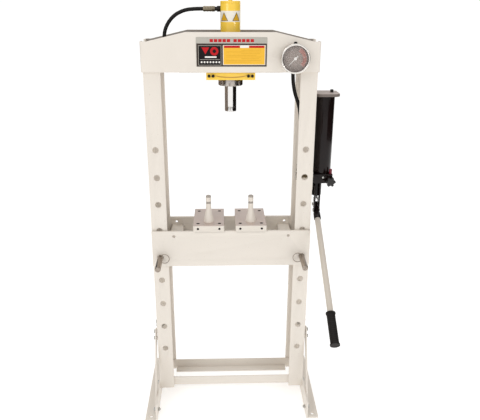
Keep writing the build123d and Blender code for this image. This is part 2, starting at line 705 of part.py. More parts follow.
with BuildPart() as right_foot:
    add_foot(1)
right_foot.part.label = "right_foot"
export_step(right_foot.part, "parts/right_foot.step")

with BuildPart() as left_braces:
    add_braces(-1)
left_braces.part.label = "left_braces"
export_step(left_braces.part, "parts/left_braces.step")

with BuildPart() as right_braces:
    add_braces(1)
right_braces.part.label = "right_braces"
export_step(right_braces.part, "parts/right_braces.step")

with BuildPart() as frame_bolts:
    for hand in (-1, 1):
        for end in (-1, 1):
            add_through_bolt(hand, OUTER_X + FOOT_T, WEB_INNER_X, end * FOOT_BOLT[0], FOOT_BOLT[1])
            add_through_bolt(hand, OUTER_X + FOOT_T + BRACE_T, OUTER_X, end * BRACE_LOW[0], BRACE_LOW[1])
            for bolt_y, bolt_z in (BRACE_HIGH, BRACE_SECOND):
                add_through_bolt(hand, OUTER_X + FOOT_T + BRACE_T, WEB_INNER_X, end * bolt_y, bolt_z)
frame_bolts.part.label = "frame_bolts"
export_step(frame_bolts.part, "parts/frame_bolts.step")

with BuildPart() as nameplate:
    with BuildSketch(Plane.XZ.offset(-HEAD_FRONT_Y)) as plate_face:
        with Locations(((PLATE_LEFT + PLATE_RIGHT) / 2, (PLATE_BOTTOM + PLATE_TOP) / 2)):
            Rectangle(PLATE_RIGHT - PLATE_LEFT, PLATE_TOP - PLATE_BOTTOM)
        fillet(plate_face.vertices(), PLATE_CORNER_R)
    extrude(amount=PLATE_T)
nameplate.part.label = "nameplate"
export_step(nameplate.part, "parts/nameplate.step")

# ---------------------------------------------------------------- cylinder and ram
with BuildPart() as cylinder_mount:
    with BuildSketch(Plane.XY.offset(MOUNT_BOTTOM)):
        Rectangle(MOUNT_X, MOUNT_Y)
        Circle(CYL_D / 2 + SEAT_GAP, mode=Mode.SUBTRACT)
    extrude(amount=MOUNT_T)
    with BuildSketch(Plane.XY.offset(HEAD_BOTTOM)):
        with GridLocations(2 * MOUNT_BOLT_X, 2 * MOUNT_BOLT_Y, 2, 2):
            Circle(BOLT_D / 2 + LOOSE_FIT)
    extrude(amount=-MOUNT_BOLT_DEPTH - LOOSE_FIT, mode=Mode.SUBTRACT)
    with BuildSketch(Plane.XZ.offset(MOUNT_Y / 2)):
        with Locations(*[(x, (MOUNT_BOTTOM + HEAD_BOTTOM) / 2) for x in FRONT_SCREW_X]):
            Circle(CAP_SCREW_D / 2 + LOOSE_FIT)
    extrude(amount=-CAP_SCREW_DEPTH - LOOSE_FIT, mode=Mode.SUBTRACT)
cylinder_mount.part.label = "cylinder_mount"
export_step(cylinder_mount.part, "parts/cylinder_mount.step")

with BuildPart() as mount_screws:
    for screw_x in FRONT_SCREW_X:
        face_origin = (screw_x, -MOUNT_Y / 2, (MOUNT_BOTTOM + HEAD_BOTTOM) / 2)
        add_cap_screw(Plane(origin=face_origin, x_dir=(1, 0, 0), z_dir=(0, -1, 0)))
    for bolt_x in (-MOUNT_BOLT_X, MOUNT_BOLT_X):
        for bolt_y in (-MOUNT_BOLT_Y, MOUNT_BOLT_Y):
            floor_seat = Plane(origin=(bolt_x, bolt_y, HEAD_BOTTOM + FLOOR_PLATE_T))
            add_bolt(floor_seat, FLOOR_PLATE_T + MOUNT_BOLT_DEPTH)
mount_screws.part.label = "mount_screws"
export_step(mount_screws.part, "parts/mount_screws.step")

with BuildPart() as cylinder_tube:
    with BuildSketch(Plane.XY.offset(CYL_BOTTOM)):
        Circle(CYL_D / 2)
        Circle(CYL_BORE / 2, mode=Mode.SUBTRACT)
    extrude(amount=CYL_TUBE_TOP - CYL_BOTTOM)
    disc(outward(-1, CYL_D / 2, 0, PORT_Z), PORT_NIPPLE_D / 2 + LOOSE_FIT, -(CYL_D - CYL_BORE), Mode.SUBTRACT)
cylinder_tube.part.label = "cylinder_tube"
export_step(cylinder_tube.part, "parts/cylinder_tube.step")

with BuildPart() as cylinder_cap:
    disc(Plane.XY.offset(CYL_TUBE_TOP), CYL_D / 2, CYL_CAP_T)
    chamfer(cylinder_cap.edges().group_by(Axis.Z)[-1], KNOB_EDGE)
    disc(Plane.XY.offset(CYL_TUBE_TOP), CYL_BORE / 2 - LOOSE_FIT, -CYL_CAP_T)
    hexagon(Plane.XY.offset(CYL_TUBE_TOP + CYL_CAP_T), HEX_FLAT_R, HEX_HEAD_H)
cylinder_cap.part.label = "cylinder_cap"
export_step(cylinder_cap.part, "parts/cylinder_cap.step")

with BuildPart() as cylinder_ring_nut:
    with BuildSketch(Plane.XY.offset(RING_NUT_BOTTOM)):
        Circle(RING_NUT_D / 2)
        Circle(RAM_D / 2 + RUN_FIT, mode=Mode.SUBTRACT)
    extrude(amount=MOUNT_BOTTOM - RING_NUT_BOTTOM)
    chamfer(cylinder_ring_nut.edges().group_by(Axis.Z)[0].sort_by(SortBy.RADIUS)[-1], KNOB_EDGE)
    disc(Plane.XY.offset(CYL_BOTTOM), CYL_D / 2 + LOOSE_FIT, MOUNT_BOTTOM - CYL_BOTTOM, Mode.SUBTRACT)
    with BuildSketch(Plane.XY.offset(RING_NUT_BOTTOM)):
        with PolarLocations(RING_NUT_D / 2, 4, start_angle=45):
            Rectangle(RING_NUT_SLOT, RING_NUT_SLOT)
    extrude(amount=MOUNT_BOTTOM - RING_NUT_BOTTOM - RING_NUT_SLOT, mode=Mode.SUBTRACT)
cylinder_ring_nut.part.label = "cylinder_ring_nut"
export_step(cylinder_ring_nut.part, "parts/cylinder_ring_nut.step")

with BuildPart() as ram_rod:
    rod_bottom = RAM_BOTTOM + RAM_TIP_H + RAM_GROOVE
    disc(Plane.XY.offset(rod_bottom), RAM_D / 2, PISTON_BOTTOM - rod_bottom)
    disc(Plane.XY.offset(PISTON_BOTTOM), CYL_BORE / 2 - RUN_FIT, PISTON_H)
    disc(Plane.XY.offset(rod_bottom), RAM_STUD_D / 2 + LOOSE_FIT, RAM_STUD_L + LOOSE_FIT, Mode.SUBTRACT)
ram_rod.part.label = "ram_rod"
export_step(ram_rod.part, "parts/ram_rod.step")

with BuildPart() as ram_tip:
    disc(Plane.XY.offset(RAM_BOTTOM), RAM_D / 2, RAM_TIP_H)
    chamfer(ram_tip.edges().group_by(Axis.Z)[0], KNOB_EDGE)
    disc(Plane.XY.offset(RAM_BOTTOM + RAM_TIP_H), RAM_NECK_D / 2, RAM_GROOVE)
    disc(Plane.XY.offset(RAM_BOTTOM + RAM_TIP_H + RAM_GROOVE), RAM_STUD_D / 2, RAM_STUD_L)
ram_tip.part.label = "ram_tip"
export_step(ram_tip.part, "parts/ram_tip.step")

with BuildPart() as port_adapter:
    disc(outward(-1, CYL_D / 2, 0, PORT_Z), PORT_NIPPLE_D / 2, -PORT_WALL_DEPTH)
    hexagon(outward(-1, CYL_D / 2, 0, PORT_Z), PORT_HEX_R, PORT_HEX_H)
    disc(outward(-1, CYL_D / 2 + PORT_HEX_H, 0, PORT_Z), STEM_D / 2, PORT_COLLAR_H)
port_adapter.part.label = "port_adapter"
export_step(port_adapter.part, "parts/port_adapter.step")

# ---------------------------------------------------------------- hoses and their ends
with BuildPart() as upper_hose:
    add_hose(UPPER_HOSE, "upper_hose")
upper_hose.part.label = "upper_hose"
export_step(upper_hose.part, "parts/upper_hose.step")

with BuildPart() as upper_hose_ends:
    add_sleeve(outward(-1, CYL_D / 2 + PORT_HEX_H + PORT_COLLAR_H, 0, PORT_Z), LONG_SLEEVE)
    add_sleeve(outward(-1, TEE_SIZE / 2 + NIPPLE_H - GAUGE_X, TEE_Y, GAUGE_Z), LONG_SLEEVE)
upper_hose_ends.part.label = "upper_hose_ends"
export_step(upper_hose_ends.part, "parts/upper_hose_ends.step")

with BuildPart() as lower_hose:
    add_hose(LOWER_HOSE, "lower_hose")
lower_hose.part.label = "lower_hose"
export_step(lower_hose.part, "parts/lower_hose.step")

with BuildPart() as lower_hose_ends:
    tee_port = (GAUGE_X, TEE_Y, GAUGE_Z - TEE_SIZE / 2 - NIPPLE_H)
    add_sleeve(Plane(origin=tee_port, x_dir=(1, 0, 0), z_dir=(0, 0, -1)), SHORT_SLEEVE)
    elbow_port = (ELBOW_X, 0, PORT_LINE_Z + ELBOW_SIZE / 2 + NIPPLE_H)
    add_sleeve(Plane(origin=elbow_port), SHORT_SLEEVE)
lower_hose_ends.part.label = "lower_hose_ends"
export_step(lower_hose_ends.part, "parts/lower_hose_ends.step")

with BuildPart() as gauge_tee:
    with Locations((GAUGE_X, TEE_Y, GAUGE_Z)):
        Box(TEE_SIZE, TEE_SIZE, TEE_SIZE)
    disc(gauge_plane(TEE_Y - TEE_SIZE / 2), STEM_D / 2, TEE_Y - TEE_SIZE / 2 - GAUGE_BACK_Y)
    disc(outward(-1, TEE_SIZE / 2 - GAUGE_X, TEE_Y, GAUGE_Z), STEM_D / 2, NIPPLE_H)
    bottom_port = (GAUGE_X, TEE_Y, GAUGE_Z - TEE_SIZE / 2)
    disc(Plane(origin=bottom_port, x_dir=(1, 0, 0), z_dir=(0, 0, -1)), STEM_D / 2, NIPPLE_H)
gauge_tee.part.label = "gauge_tee"
export_step(gauge_tee.part, "parts/gauge_tee.step")

with BuildPart() as pump_elbow:
    with Locations((ELBOW_X, 0, PORT_LINE_Z)):
        Box(ELBOW_SIZE, ELBOW_SIZE, ELBOW_SIZE)
    disc(Plane(origin=(ELBOW_X, 0, PORT_LINE_Z + ELBOW_SIZE / 2)), STEM_D / 2, NIPPLE_H)
    elbow_reach = BRACKET_X + PUMP_BOLT_DEPTH - ELBOW_X - ELBOW_SIZE / 2
    disc(outward(1, ELBOW_X + ELBOW_SIZE / 2, 0, PORT_LINE_Z), PORT_NIPPLE_D / 2, elbow_reach)
pump_elbow.part.label = "pump_elbow"
export_step(pump_elbow.part, "parts/pump_elbow.step")

# ---------------------------------------------------------------- pressure gauge
with BuildPart() as gauge_case:
    disc(gauge_plane(GAUGE_BACK_Y), GAUGE_R - GAUGE_WALL, GAUGE_BACK_Y - GAUGE_RIM_Y)
    disc(gauge_plane(DIAL_SEAT_Y), GAUGE_R - 2 * GAUGE_WALL, DIAL_SEAT_Y - GAUGE_RIM_Y, Mode.SUBTRACT)
    disc(gauge_plane(DIAL_SEAT_Y), SPINDLE_R + RUN_FIT, -GAUGE_PLUG_H, Mode.SUBTRACT)
    with BuildSketch(Plane.XY.offset(GAUGE_Z + GAUGE_R - GAUGE_WALL)):
        with Locations((GAUGE_X, GAUGE_PLUG_Y)):
            Circle(GAUGE_PLUG_R)
    extrude(amount=-GAUGE_PLUG_H, mode=Mode.SUBTRACT)
gauge_case.part.label = "gauge_case"
export_step(gauge_case.part, "parts/gauge_case.step")

with BuildPart() as gauge_dial:
    disc(gauge_plane(DIAL_SEAT_Y), GAUGE_R - 2 * GAUGE_WALL - LOOSE_FIT, DIAL_T)
    disc(gauge_plane(DIAL_SEAT_Y), SPINDLE_R + RUN_FIT, DIAL_T, Mode.SUBTRACT)
gauge_dial.part.label = "gauge_dial"
export_step(gauge_dial.part, "parts/gauge_dial.step")

with BuildPart() as gauge_pointer:
    disc(gauge_plane(POINTER_BACK_Y), POINTER_HUB_R, POINTER_T)
    needle_rad = math.radians(POINTER_ANGLE)
    needle_plane = Plane(
        origin=(GAUGE_X, POINTER_BACK_Y, GAUGE_Z),
        x_dir=(math.cos(needle_rad), 0, math.sin(needle_rad)),
        z_dir=(0, -1, 0),
    )
    with BuildSketch(needle_plane):
        Polygon(
            (-POINTER_TAIL, -POINTER_W / 2),
            (POINTER_L, -POINTER_W / 8),
            (POINTER_L, POINTER_W / 8),
            (-POINTER_TAIL, POINTER_W / 2),
            align=None,
        )
    extrude(amount=POINTER_T)
    disc(gauge_plane(POINTER_BACK_Y), SPINDLE_R, POINTER_BACK_Y - DIAL_SEAT_Y - GAUGE_PLUG_H / 2)
gauge_pointer.part.label = "gauge_pointer"
export_step(gauge_pointer.part, "parts/gauge_pointer.step")

with BuildPart() as gauge_lens:
    disc(gauge_plane(GAUGE_RIM_Y), GAUGE_R - GAUGE_WALL, LENS_T)
gauge_lens.part.label = "gauge_lens"
export_step(gauge_lens.part, "parts/gauge_lens.step")

with BuildPart() as gauge_bezel:
    with BuildSketch(gauge_plane(BEZEL_SKIRT_Y)):
        Circle(GAUGE_R)
        Circle(GAUGE_R - GAUGE_WALL + LOOSE_FIT, mode=Mode.SUBTRACT)
    extrude(amount=BEZEL_SKIRT_Y - GAUGE_RIM_Y + LENS_T)
    with BuildSketch(gauge_plane(GAUGE_RIM_Y - LENS_T)):
        Circle(GAUGE_R)
        Circle(BEZEL_WINDOW_R, mode=Mode.SUBTRACT)
    extrude(amount=GAUGE_RIM_Y - LENS_T - GAUGE_FRONT_Y)
    fillet(gauge_bezel.edges().group_by(Axis.Y)[0], GAUGE_WALL)
gauge_bezel.part.label = "gauge_bezel"
export_step(gauge_bezel.part, "parts/gauge_bezel.step")

with BuildPart() as gauge_plug:
    with BuildSketch(Plane.XY.offset(GAUGE_Z + GAUGE_R - GAUGE_WALL - GAUGE_PLUG_H)):
        with Locations((GAUGE_X, GAUGE_PLUG_Y)):
            Circle(GAUGE_PLUG_R - LOOSE_FIT)
    extrude(amount=2 * GAUGE_PLUG_H)
    fillet(gauge_plug.edges().group_by(Axis.Z)[-1], KNOB_EDGE)
gauge_plug.part.label = "gauge_plug"
export_step(gauge_plug.part, "parts/gauge_plug.step")

# ---------------------------------------------------------------- bed, pins and blocks
with BuildPart() as bed_front_plate:
    add_bed_plate(-1)
bed_front_plate.part.label = "bed_front_plate"
export_step(bed_front_plate.part, "parts/bed_front_plate.step")

with BuildPart() as bed_rear_plate:
    add_bed_plate(1)
bed_rear_plate.part.label = "bed_rear_plate"
export_step(bed_rear_plate.part, "parts/bed_rear_plate.step")

# Box sections at the ends and round tie bars that hold the two bed plates apart.
with BuildPart() as bed_spacers:
    box_mid_x = BED_END_X - BED_BOX_W / 2
    box_mid_z = BED_TOP - BED_BOX_BELOW_TOP - BED_BOX_H / 2
    with BuildSketch(Plane.XZ):
        with Locations((-box_mid_x, box_mid_z), (box_mid_x, box_mid_z)):
            RectangleRounded(BED_BOX_W, BED_BOX_H, CHANNEL_ROOT_R)
            Rectangle(BED_BOX_W - 2 * BED_BOX_WALL, BED_BOX_H - 2 * BED_BOX_WALL, mode=Mode.SUBTRACT)
    extrude(amount=BED_INNER_Y, both=True)
    with BuildSketch(Plane.XZ):
        with Locations((-BED_TIE_X, BED_TIE_Z), (BED_TIE_X, BED_TIE_Z)):
            Circle(BED_TIE_D / 2)
    extrude(amount=BED_INNER_Y, both=True)
bed_spacers.part.label = "bed_spacers"
export_step(bed_spacers.part, "parts/bed_spacers.step")

with BuildPart() as left_bed_pin:
    add_bed_pin(-1)
    chamfer_pin_ends(left_bed_pin.part)
left_bed_pin.part.label = "left_bed_pin"
export_step(left_bed_pin.part, "parts/left_bed_pin.step")

with BuildPart() as right_bed_pin:
    add_bed_pin(1)
    chamfer_pin_ends(right_bed_pin.part)
right_bed_pin.part.label = "right_bed_pin"
export_step(right_bed_pin.part, "parts/right_bed_pin.step")

with BuildPart() as left_pin_ring:
    add_pin_ring(-1)
left_pin_ring.part.label = "left_pin_ring"
export_step(left_pin_ring.part, "parts/left_pin_ring.step")

with BuildPart() as right_pin_ring:
    add_pin_ring(1)
right_pin_ring.part.label = "right_pin_ring"
export_step(right_pin_ring.part, "parts/right_pin_ring.step")

with BuildPart() as left_press_block:
    add_block(LEFT_BLOCK_X)
left_press_block.part.label = "left_press_block"
export_step(left_press_block.part, "parts/left_press_block.step")

with BuildPart() as right_press_block:
    add_block(RIGHT_BLOCK_X)
right_press_block.part.label = "right_press_block"
export_step(right_press_block.part, "parts/right_press_block.step")

with BuildPart() as left_block_post:
    add_block_post(LEFT_BLOCK_X)
left_block_post.part.label = "left_block_post"
export_step(left_block_post.part, "parts/left_block_post.step")

with BuildPart() as right_block_post:
    add_block_post(RIGHT_BLOCK_X)
right_block_post.part.label = "right_block_post"
export_step(right_block_post.part, "parts/right_block_post.step")

# ---------------------------------------------------------------- hand pump
with BuildPart() as pump_bracket:
    with BuildSketch(outward(1, OUTER_X, 0, (BRACKET_BOTTOM + BRACKET_TOP) / 2)):
        Rectangle(PUMP_BLOCK_Y, BRACKET_TOP - BRACKET_BOTTOM)
    extrude(amount=BRACKET_X - OUTER_X)
    disc(outward(1, BRACKET_X, 0, PORT_LINE_Z), PORT_NIPPLE_D / 2 + LOOSE_FIT, -FOOT_T, Mode.SUBTRACT)
    for bolt_y in (-PUMP_BOLT_Y, PUMP_BOLT_Y):
        for bolt_z in PUMP_BOLT_Z:
            disc(outward(1, BRACKET_X, bolt_y, bolt_z), BOLT_HOLE_D / 2, -FOOT_T, Mode.SUBTRACT)
pump_bracket.part.label = "pump_bracket"
export_step(pump_bracket.part, "parts/pump_bracket.step")

with BuildPart() as pump_block:
    with BuildSketch(Plane.XY.offset(PUMP_BLOCK_BOTTOM)):
        with Locations((PUMP_X, 0)):
            Rectangle(PUMP_BLOCK_X, PUMP_BLOCK_Y)
    extrude(amount=PUMP_BLOCK_TOP - PUMP_BLOCK_BOTTOM)
    chamfer(pump_block.edges().filter_by(Axis.Z).group_by(Axis.X)[-1], PUMP_EDGE)
    disc(
        Plane(origin=(LEVER_X, 0, PUMP_BLOCK_BOTTOM)),
        PLUNGER_D / 2 + RUN_FIT,
        PLUNGER_BORE_TOP - PUMP_BLOCK_BOTTOM,
        Mode.SUBTRACT,
    )
    port_seat = outward(1, BRACKET_X, 0, PORT_LINE_Z)
    disc(port_seat, PORT_NIPPLE_D / 2 + LOOSE_FIT, PUMP_BOLT_DEPTH + LOOSE_FIT, Mode.SUBTRACT)
    for bolt_y in (-PUMP_BOLT_Y, PUMP_BOLT_Y):
        for bolt_z in PUMP_BOLT_Z:
            tapped = outward(1, BRACKET_X, bolt_y, bolt_z)
            disc(tapped, BOLT_D / 2 + LOOSE_FIT, PUMP_BOLT_DEPTH + LOOSE_FIT, Mode.SUBTRACT)
    knob_seat = Plane(origin=(RELEASE_X, PUMP_FRONT_Y, RELEASE_Z), x_dir=(1, 0, 0), z_dir=(0, -1, 0))
    disc(knob_seat, RELEASE_STEM_D / 2 + RUN_FIT, -RELEASE_STEM_DEPTH - SEAT_GAP, Mode.SUBTRACT)
    bleed_face = (BLEED_SCREW[0], PUMP_FRONT_Y, BLEED_SCREW[1])
    disc(Plane(origin=bleed_face, z_dir=(0, -1, 0)), BLEED_SCREW_R / 2 + LOOSE_FIT, -BLEED_SCREW_H, Mode.SUBTRACT)
pump_block.part.label = "pump_block"
export_step(pump_block.part, "parts/pump_block.step")

with BuildPart() as pump_bolts:
    for bolt_y in (-PUMP_BOLT_Y, PUMP_BOLT_Y):
        for bolt_z in PUMP_BOLT_Z:
            add_bolt(outward(-1, -WEB_INNER_X, bolt_y, bolt_z), CHANNEL_WALL + FOOT_T + PUMP_BOLT_DEPTH)
    bleed_seat = Plane(origin=(BLEED_SCREW[0], PUMP_FRONT_Y, BLEED_SCREW[1]), z_dir=(0, -1, 0))
    disc(bleed_seat, BLEED_SCREW_R, BLEED_SCREW_H)
    disc(bleed_seat, BLEED_SCREW_R / 2, -BLEED_SCREW_H)
pump_bolts.part.label = "pump_bolts"
export_step(pump_bolts.part, "parts/pump_bolts.step")

with BuildPart() as reservoir_tube:
    with BuildSketch(Plane.XY.offset(PUMP_BLOCK_TOP)):
        with Locations((PUMP_X, 0)):
            Circle(RESERVOIR_D / 2)
            Circle(RESERVOIR_D / 2 - RESERVOIR_WALL, mode=Mode.SUBTRACT)
    extrude(amount=RESERVOIR_TOP - PUMP_BLOCK_TOP)
reservoir_tube.part.label = "reservoir_tube"
export_step(reservoir_tube.part, "parts/reservoir_tube.step")

with BuildPart() as reservoir_cap:
    with BuildSketch(Plane.XY.offset(RESERVOIR_TOP)) as cap_face:
        with Locations((RESERVOIR_CAP_X, 0)):
            Rectangle(RESERVOIR_CAP_SIZE, RESERVOIR_CAP_SIZE)
        chamfer(cap_face.vertices(), RESERVOIR_CAP_CORNER)
    extrude(amount=RESERVOIR_CAP_T)
    chamfer(reservoir_cap.edges().group_by(Axis.Z)[-1], KNOB_EDGE / 2)
    disc(Plane(origin=(PUMP_X, 0, RESERVOIR_TOP)), RESERVOIR_D / 2 - RESERVOIR_WALL - LOOSE_FIT, -PUMP_EDGE)
    vent_top = Plane(origin=(VENT_X, 0, RESERVOIR_TOP + RESERVOIR_CAP_T))
    disc(vent_top, VENT_STEM_D / 2 + RUN_FIT, -VENT_STEM_L - SEAT_GAP, Mode.SUBTRACT)
reservoir_cap.part.label = "reservoir_cap"
export_step(reservoir_cap.part, "parts/reservoir_cap.step")

with BuildPart() as vent_plug:
    vent_seat = Plane(origin=(VENT_X, 0, RESERVOIR_TOP + RESERVOIR_CAP_T))
    disc(vent_seat.offset(SEAT_GAP), VENT_D / 2, VENT_HEAD_H)
    fillet(vent_plug.edges().group_by(Axis.Z)[-1], KNOB_EDGE)
    disc(vent_seat.offset(SEAT_GAP), VENT_STEM_D / 2, -VENT_STEM_L)
vent_plug.part.label = "vent_plug"
export_step(vent_plug.part, "parts/vent_plug.step")

with BuildPart() as relief_cap:
    disc(Plane(origin=(*RED_CAP, PUMP_BLOCK_TOP)), RED_CAP_R, RED_CAP_H)
    fillet(relief_cap.edges().group_by(Axis.Z)[-1], KNOB_EDGE)
relief_cap.part.label = "relief_cap"
export_step(relief_cap.part, "parts/relief_cap.step")

with BuildPart() as pump_barrel:
    with BuildSketch(Plane.XY.offset(BARREL_BOTTOM)):
        with Locations((LEVER_X, 0)):
            Circle(BARREL_D / 2)
    extrude(amount=PUMP_BLOCK_BOTTOM - BARREL_BOTTOM)
    chamfer(pump_barrel.edges().group_by(Axis.Z)[0], KNOB_EDGE)
    collar = Plane(origin=(LEVER_X, 0, PUMP_BLOCK_BOTTOM - BARREL_COLLAR_H))
    disc(collar, BARREL_COLLAR_D / 2 - PUMP_EDGE / 2, BARREL_COLLAR_H)
    bore_length = PUMP_BLOCK_BOTTOM - BARREL_BOTTOM
    disc(Plane(origin=(LEVER_X, 0, BARREL_BOTTOM)), PLUNGER_D / 2 + RUN_FIT, bore_length, Mode.SUBTRACT)
pump_barrel.part.label = "pump_barrel"
export_step(pump_barrel.part, "parts/pump_barrel.step")

with BuildPart() as fulcrum_ears:
    for hand in (-1, 1):
        ear = outward(1, LEVER_X + hand * (LEVER_T / 2 + SEAT_GAP + EAR_T / 2) - EAR_T / 2, FULCRUM_Y, FULCRUM_Z)
        with BuildSketch(ear):
            Circle(FULCRUM_EYE_R)
            with Locations((0, (PUMP_BLOCK_BOTTOM - FULCRUM_Z) / 2)):
                Rectangle(EAR_W, PUMP_BLOCK_BOTTOM - FULCRUM_Z)
            Circle(FULCRUM_D / 2 + LOOSE_FIT, mode=Mode.SUBTRACT)
        extrude(amount=EAR_T)
fulcrum_ears.part.label = "fulcrum_ears"
export_step(fulcrum_ears.part, "parts/fulcrum_ears.step")

with BuildPart() as fulcrum_pin:
    ear_face = LEVER_X - LEVER_T / 2 - SEAT_GAP - EAR_T
    pin_length = LEVER_T + 2 * (SEAT_GAP + EAR_T)
    pin_start = outward(1, ear_face, FULCRUM_Y, FULCRUM_Z)
    disc(pin_start, FULCRUM_D / 2, pin_length + PUMP_EDGE)
    disc(pin_start, FULCRUM_EYE_R - KNOB_EDGE, -PUMP_EDGE)
fulcrum_pin.part.label = "fulcrum_pin"
export_step(fulcrum_pin.part, "parts/fulcrum_pin.step")

with BuildPart() as pump_plunger:
    with Locations((LEVER_X, 0, (CLEVIS_BOTTOM + CLEVIS_TOP) / 2)):
        Box(2 * CLEVIS_X, CLEVIS_Y, CLEVIS_TOP - CLEVIS_BOTTOM)
    with Locations((LEVER_X, 0, (CLEVIS_BOTTOM + CLEVIS_SLOT_TOP) / 2)):
        Box(LEVER_T + 2 * SEAT_GAP, CLEVIS_Y, CLEVIS_SLOT_TOP - CLEVIS_BOTTOM, mode=Mode.SUBTRACT)
    disc(Plane(origin=(LEVER_X, 0, CLEVIS_TOP)), PLUNGER_D / 2, PLUNGER_TOP - CLEVIS_TOP)
    clevis_side = outward(1, LEVER_X - CLEVIS_X, 0, PLUNGER_Z)
    disc(clevis_side, PLUNGER_PIN_D / 2 + LOOSE_FIT, 2 * CLEVIS_X, Mode.SUBTRACT)
pump_plunger.part.label = "pump_plunger"
export_step(pump_plunger.part, "parts/pump_plunger.step")

with BuildPart() as plunger_pin:
    disc(outward(1, LEVER_X - CLEVIS_X, 0, PLUNGER_Z), PLUNGER_PIN_D / 2, 2 * CLEVIS_X + PUMP_EDGE)
    disc(outward(1, LEVER_X - CLEVIS_X, 0, PLUNGER_Z), PLUNGER_PIN_D / 2 + KNOB_EDGE, -PUMP_EDGE)
plunger_pin.part.label = "plunger_pin"
export_step(plunger_pin.part, "parts/plunger_pin.step")

with BuildPart() as handle_socket:
    lever_face = Plane(
        origin=(LEVER_X - LEVER_T / 2, 0, PLUNGER_Z),
        x_dir=HANDLE_DIR,
        z_dir=(1, 0, 0),
    )
    with BuildSketch(lever_face):
        Circle(LEVER_HALF_W)
        with Locations((LEVER_PLATE_END / 2, 0)):
            Rectangle(LEVER_PLATE_END, 2 * LEVER_HALF_W)
        with Locations((PIN_SLOT_MID, 0)):
            SlotCenterToCenter(PIN_SLOT_TRAVEL, PLUNGER_PIN_D + 2 * PIN_SLOT_CLEARANCE, mode=Mode.SUBTRACT)
        with Locations((FULCRUM_T, 0)):
            Circle(FULCRUM_D / 2 + RUN_FIT, mode=Mode.SUBTRACT)
    extrude(amount=LEVER_T)
    disc(handle_plane(SOCKET_START), SOCKET_R, SOCKET_END - SOCKET_START)
    pole_seat = handle_plane(LEVER_PLATE_END)
    disc(pole_seat, POLE_D / 2 + LOOSE_FIT, SOCKET_END - LEVER_PLATE_END, Mode.SUBTRACT)
handle_socket.part.label = "handle_socket"
export_step(handle_socket.part, "parts/handle_socket.step")

with BuildPart() as handle_pole:
    with BuildSketch(handle_plane(LEVER_PLATE_END)):
        Circle(POLE_D / 2)
        Circle(POLE_D / 2 - POLE_WALL, mode=Mode.SUBTRACT)
    extrude(amount=POLE_END - LEVER_PLATE_END)
handle_pole.part.label = "handle_pole"
export_step(handle_pole.part, "parts/handle_pole.step")

with BuildPart() as handle_grip:
    disc(handle_plane(GRIP_START), GRIP_D / 2, GRIP_END - GRIP_START)
    disc(handle_plane(GRIP_START), GRIP_FLANGE_D / 2, GRIP_FLANGE_T)
    disc(handle_plane(GRIP_END - GRIP_FLANGE_T), GRIP_FLANGE_D / 2, GRIP_FLANGE_T)
    disc(handle_plane(GRIP_START), POLE_D / 2 + LOOSE_FIT, POLE_END - GRIP_START, Mode.SUBTRACT)
handle_grip.part.label = "handle_grip"
export_step(handle_grip.part, "parts/handle_grip.step")

with BuildPart() as release_knob:
    knob_back = Plane(origin=(RELEASE_X, RELEASE_BACK_Y, RELEASE_Z), x_dir=(1, 0, 0), z_dir=(0, -1, 0))
    with BuildSketch(knob_back):
        Circle(RELEASE_R)
        with PolarLocations(RELEASE_R, RELEASE_LOBES):
            Circle(RELEASE_LOBE_R)
    extrude(amount=RELEASE_BACK_Y - RELEASE_FRONT_Y)
    fillet(release_knob.edges().group_by(Axis.Y)[0], KNOB_EDGE)
    stem_length = PUMP_FRONT_Y - RELEASE_BACK_Y + RELEASE_STEM_DEPTH
    disc(knob_back, RELEASE_STEM_D / 2, -stem_length)
release_knob.part.label = "release_knob"
export_step(release_knob.part, "parts/release_knob.step")
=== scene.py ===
"""A hydraulic shop press with a hand pump, in a plain pale studio."""

import math

import bmesh
import bpy
from mathutils import Matrix, Vector
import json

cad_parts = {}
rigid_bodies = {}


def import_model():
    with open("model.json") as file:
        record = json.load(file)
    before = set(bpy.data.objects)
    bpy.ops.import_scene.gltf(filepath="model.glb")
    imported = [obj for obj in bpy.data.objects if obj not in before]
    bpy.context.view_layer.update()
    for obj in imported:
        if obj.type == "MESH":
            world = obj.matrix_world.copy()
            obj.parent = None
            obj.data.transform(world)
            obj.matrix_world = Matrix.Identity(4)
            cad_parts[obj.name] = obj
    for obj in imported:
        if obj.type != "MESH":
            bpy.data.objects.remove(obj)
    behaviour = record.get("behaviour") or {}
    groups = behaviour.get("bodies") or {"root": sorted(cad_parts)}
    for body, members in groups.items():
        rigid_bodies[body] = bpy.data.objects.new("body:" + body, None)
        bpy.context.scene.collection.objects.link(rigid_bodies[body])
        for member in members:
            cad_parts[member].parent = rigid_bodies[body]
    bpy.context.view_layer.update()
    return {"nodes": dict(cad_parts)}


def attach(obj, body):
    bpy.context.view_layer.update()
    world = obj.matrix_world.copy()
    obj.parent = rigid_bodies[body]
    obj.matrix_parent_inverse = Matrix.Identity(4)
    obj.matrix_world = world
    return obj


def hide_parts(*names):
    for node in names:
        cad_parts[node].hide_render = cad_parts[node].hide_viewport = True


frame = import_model()

# ---- Camera and studio
# A pale seamless floor under a soft white sky that is brighter at the front left.
# Curved dark flags seen only by reflection give the polished steel something to reflect.
CAMERA_AT = Vector((-0.0330, -2.0869, 1.6282))
CAMERA_PITCH = math.radians(20.709)
CAMERA_YAW = math.radians(1.896)
CAMERA_ROLL = math.radians(0.207)
CAMERA_LENS = 42.557
FLOOR_HALF = 400.0

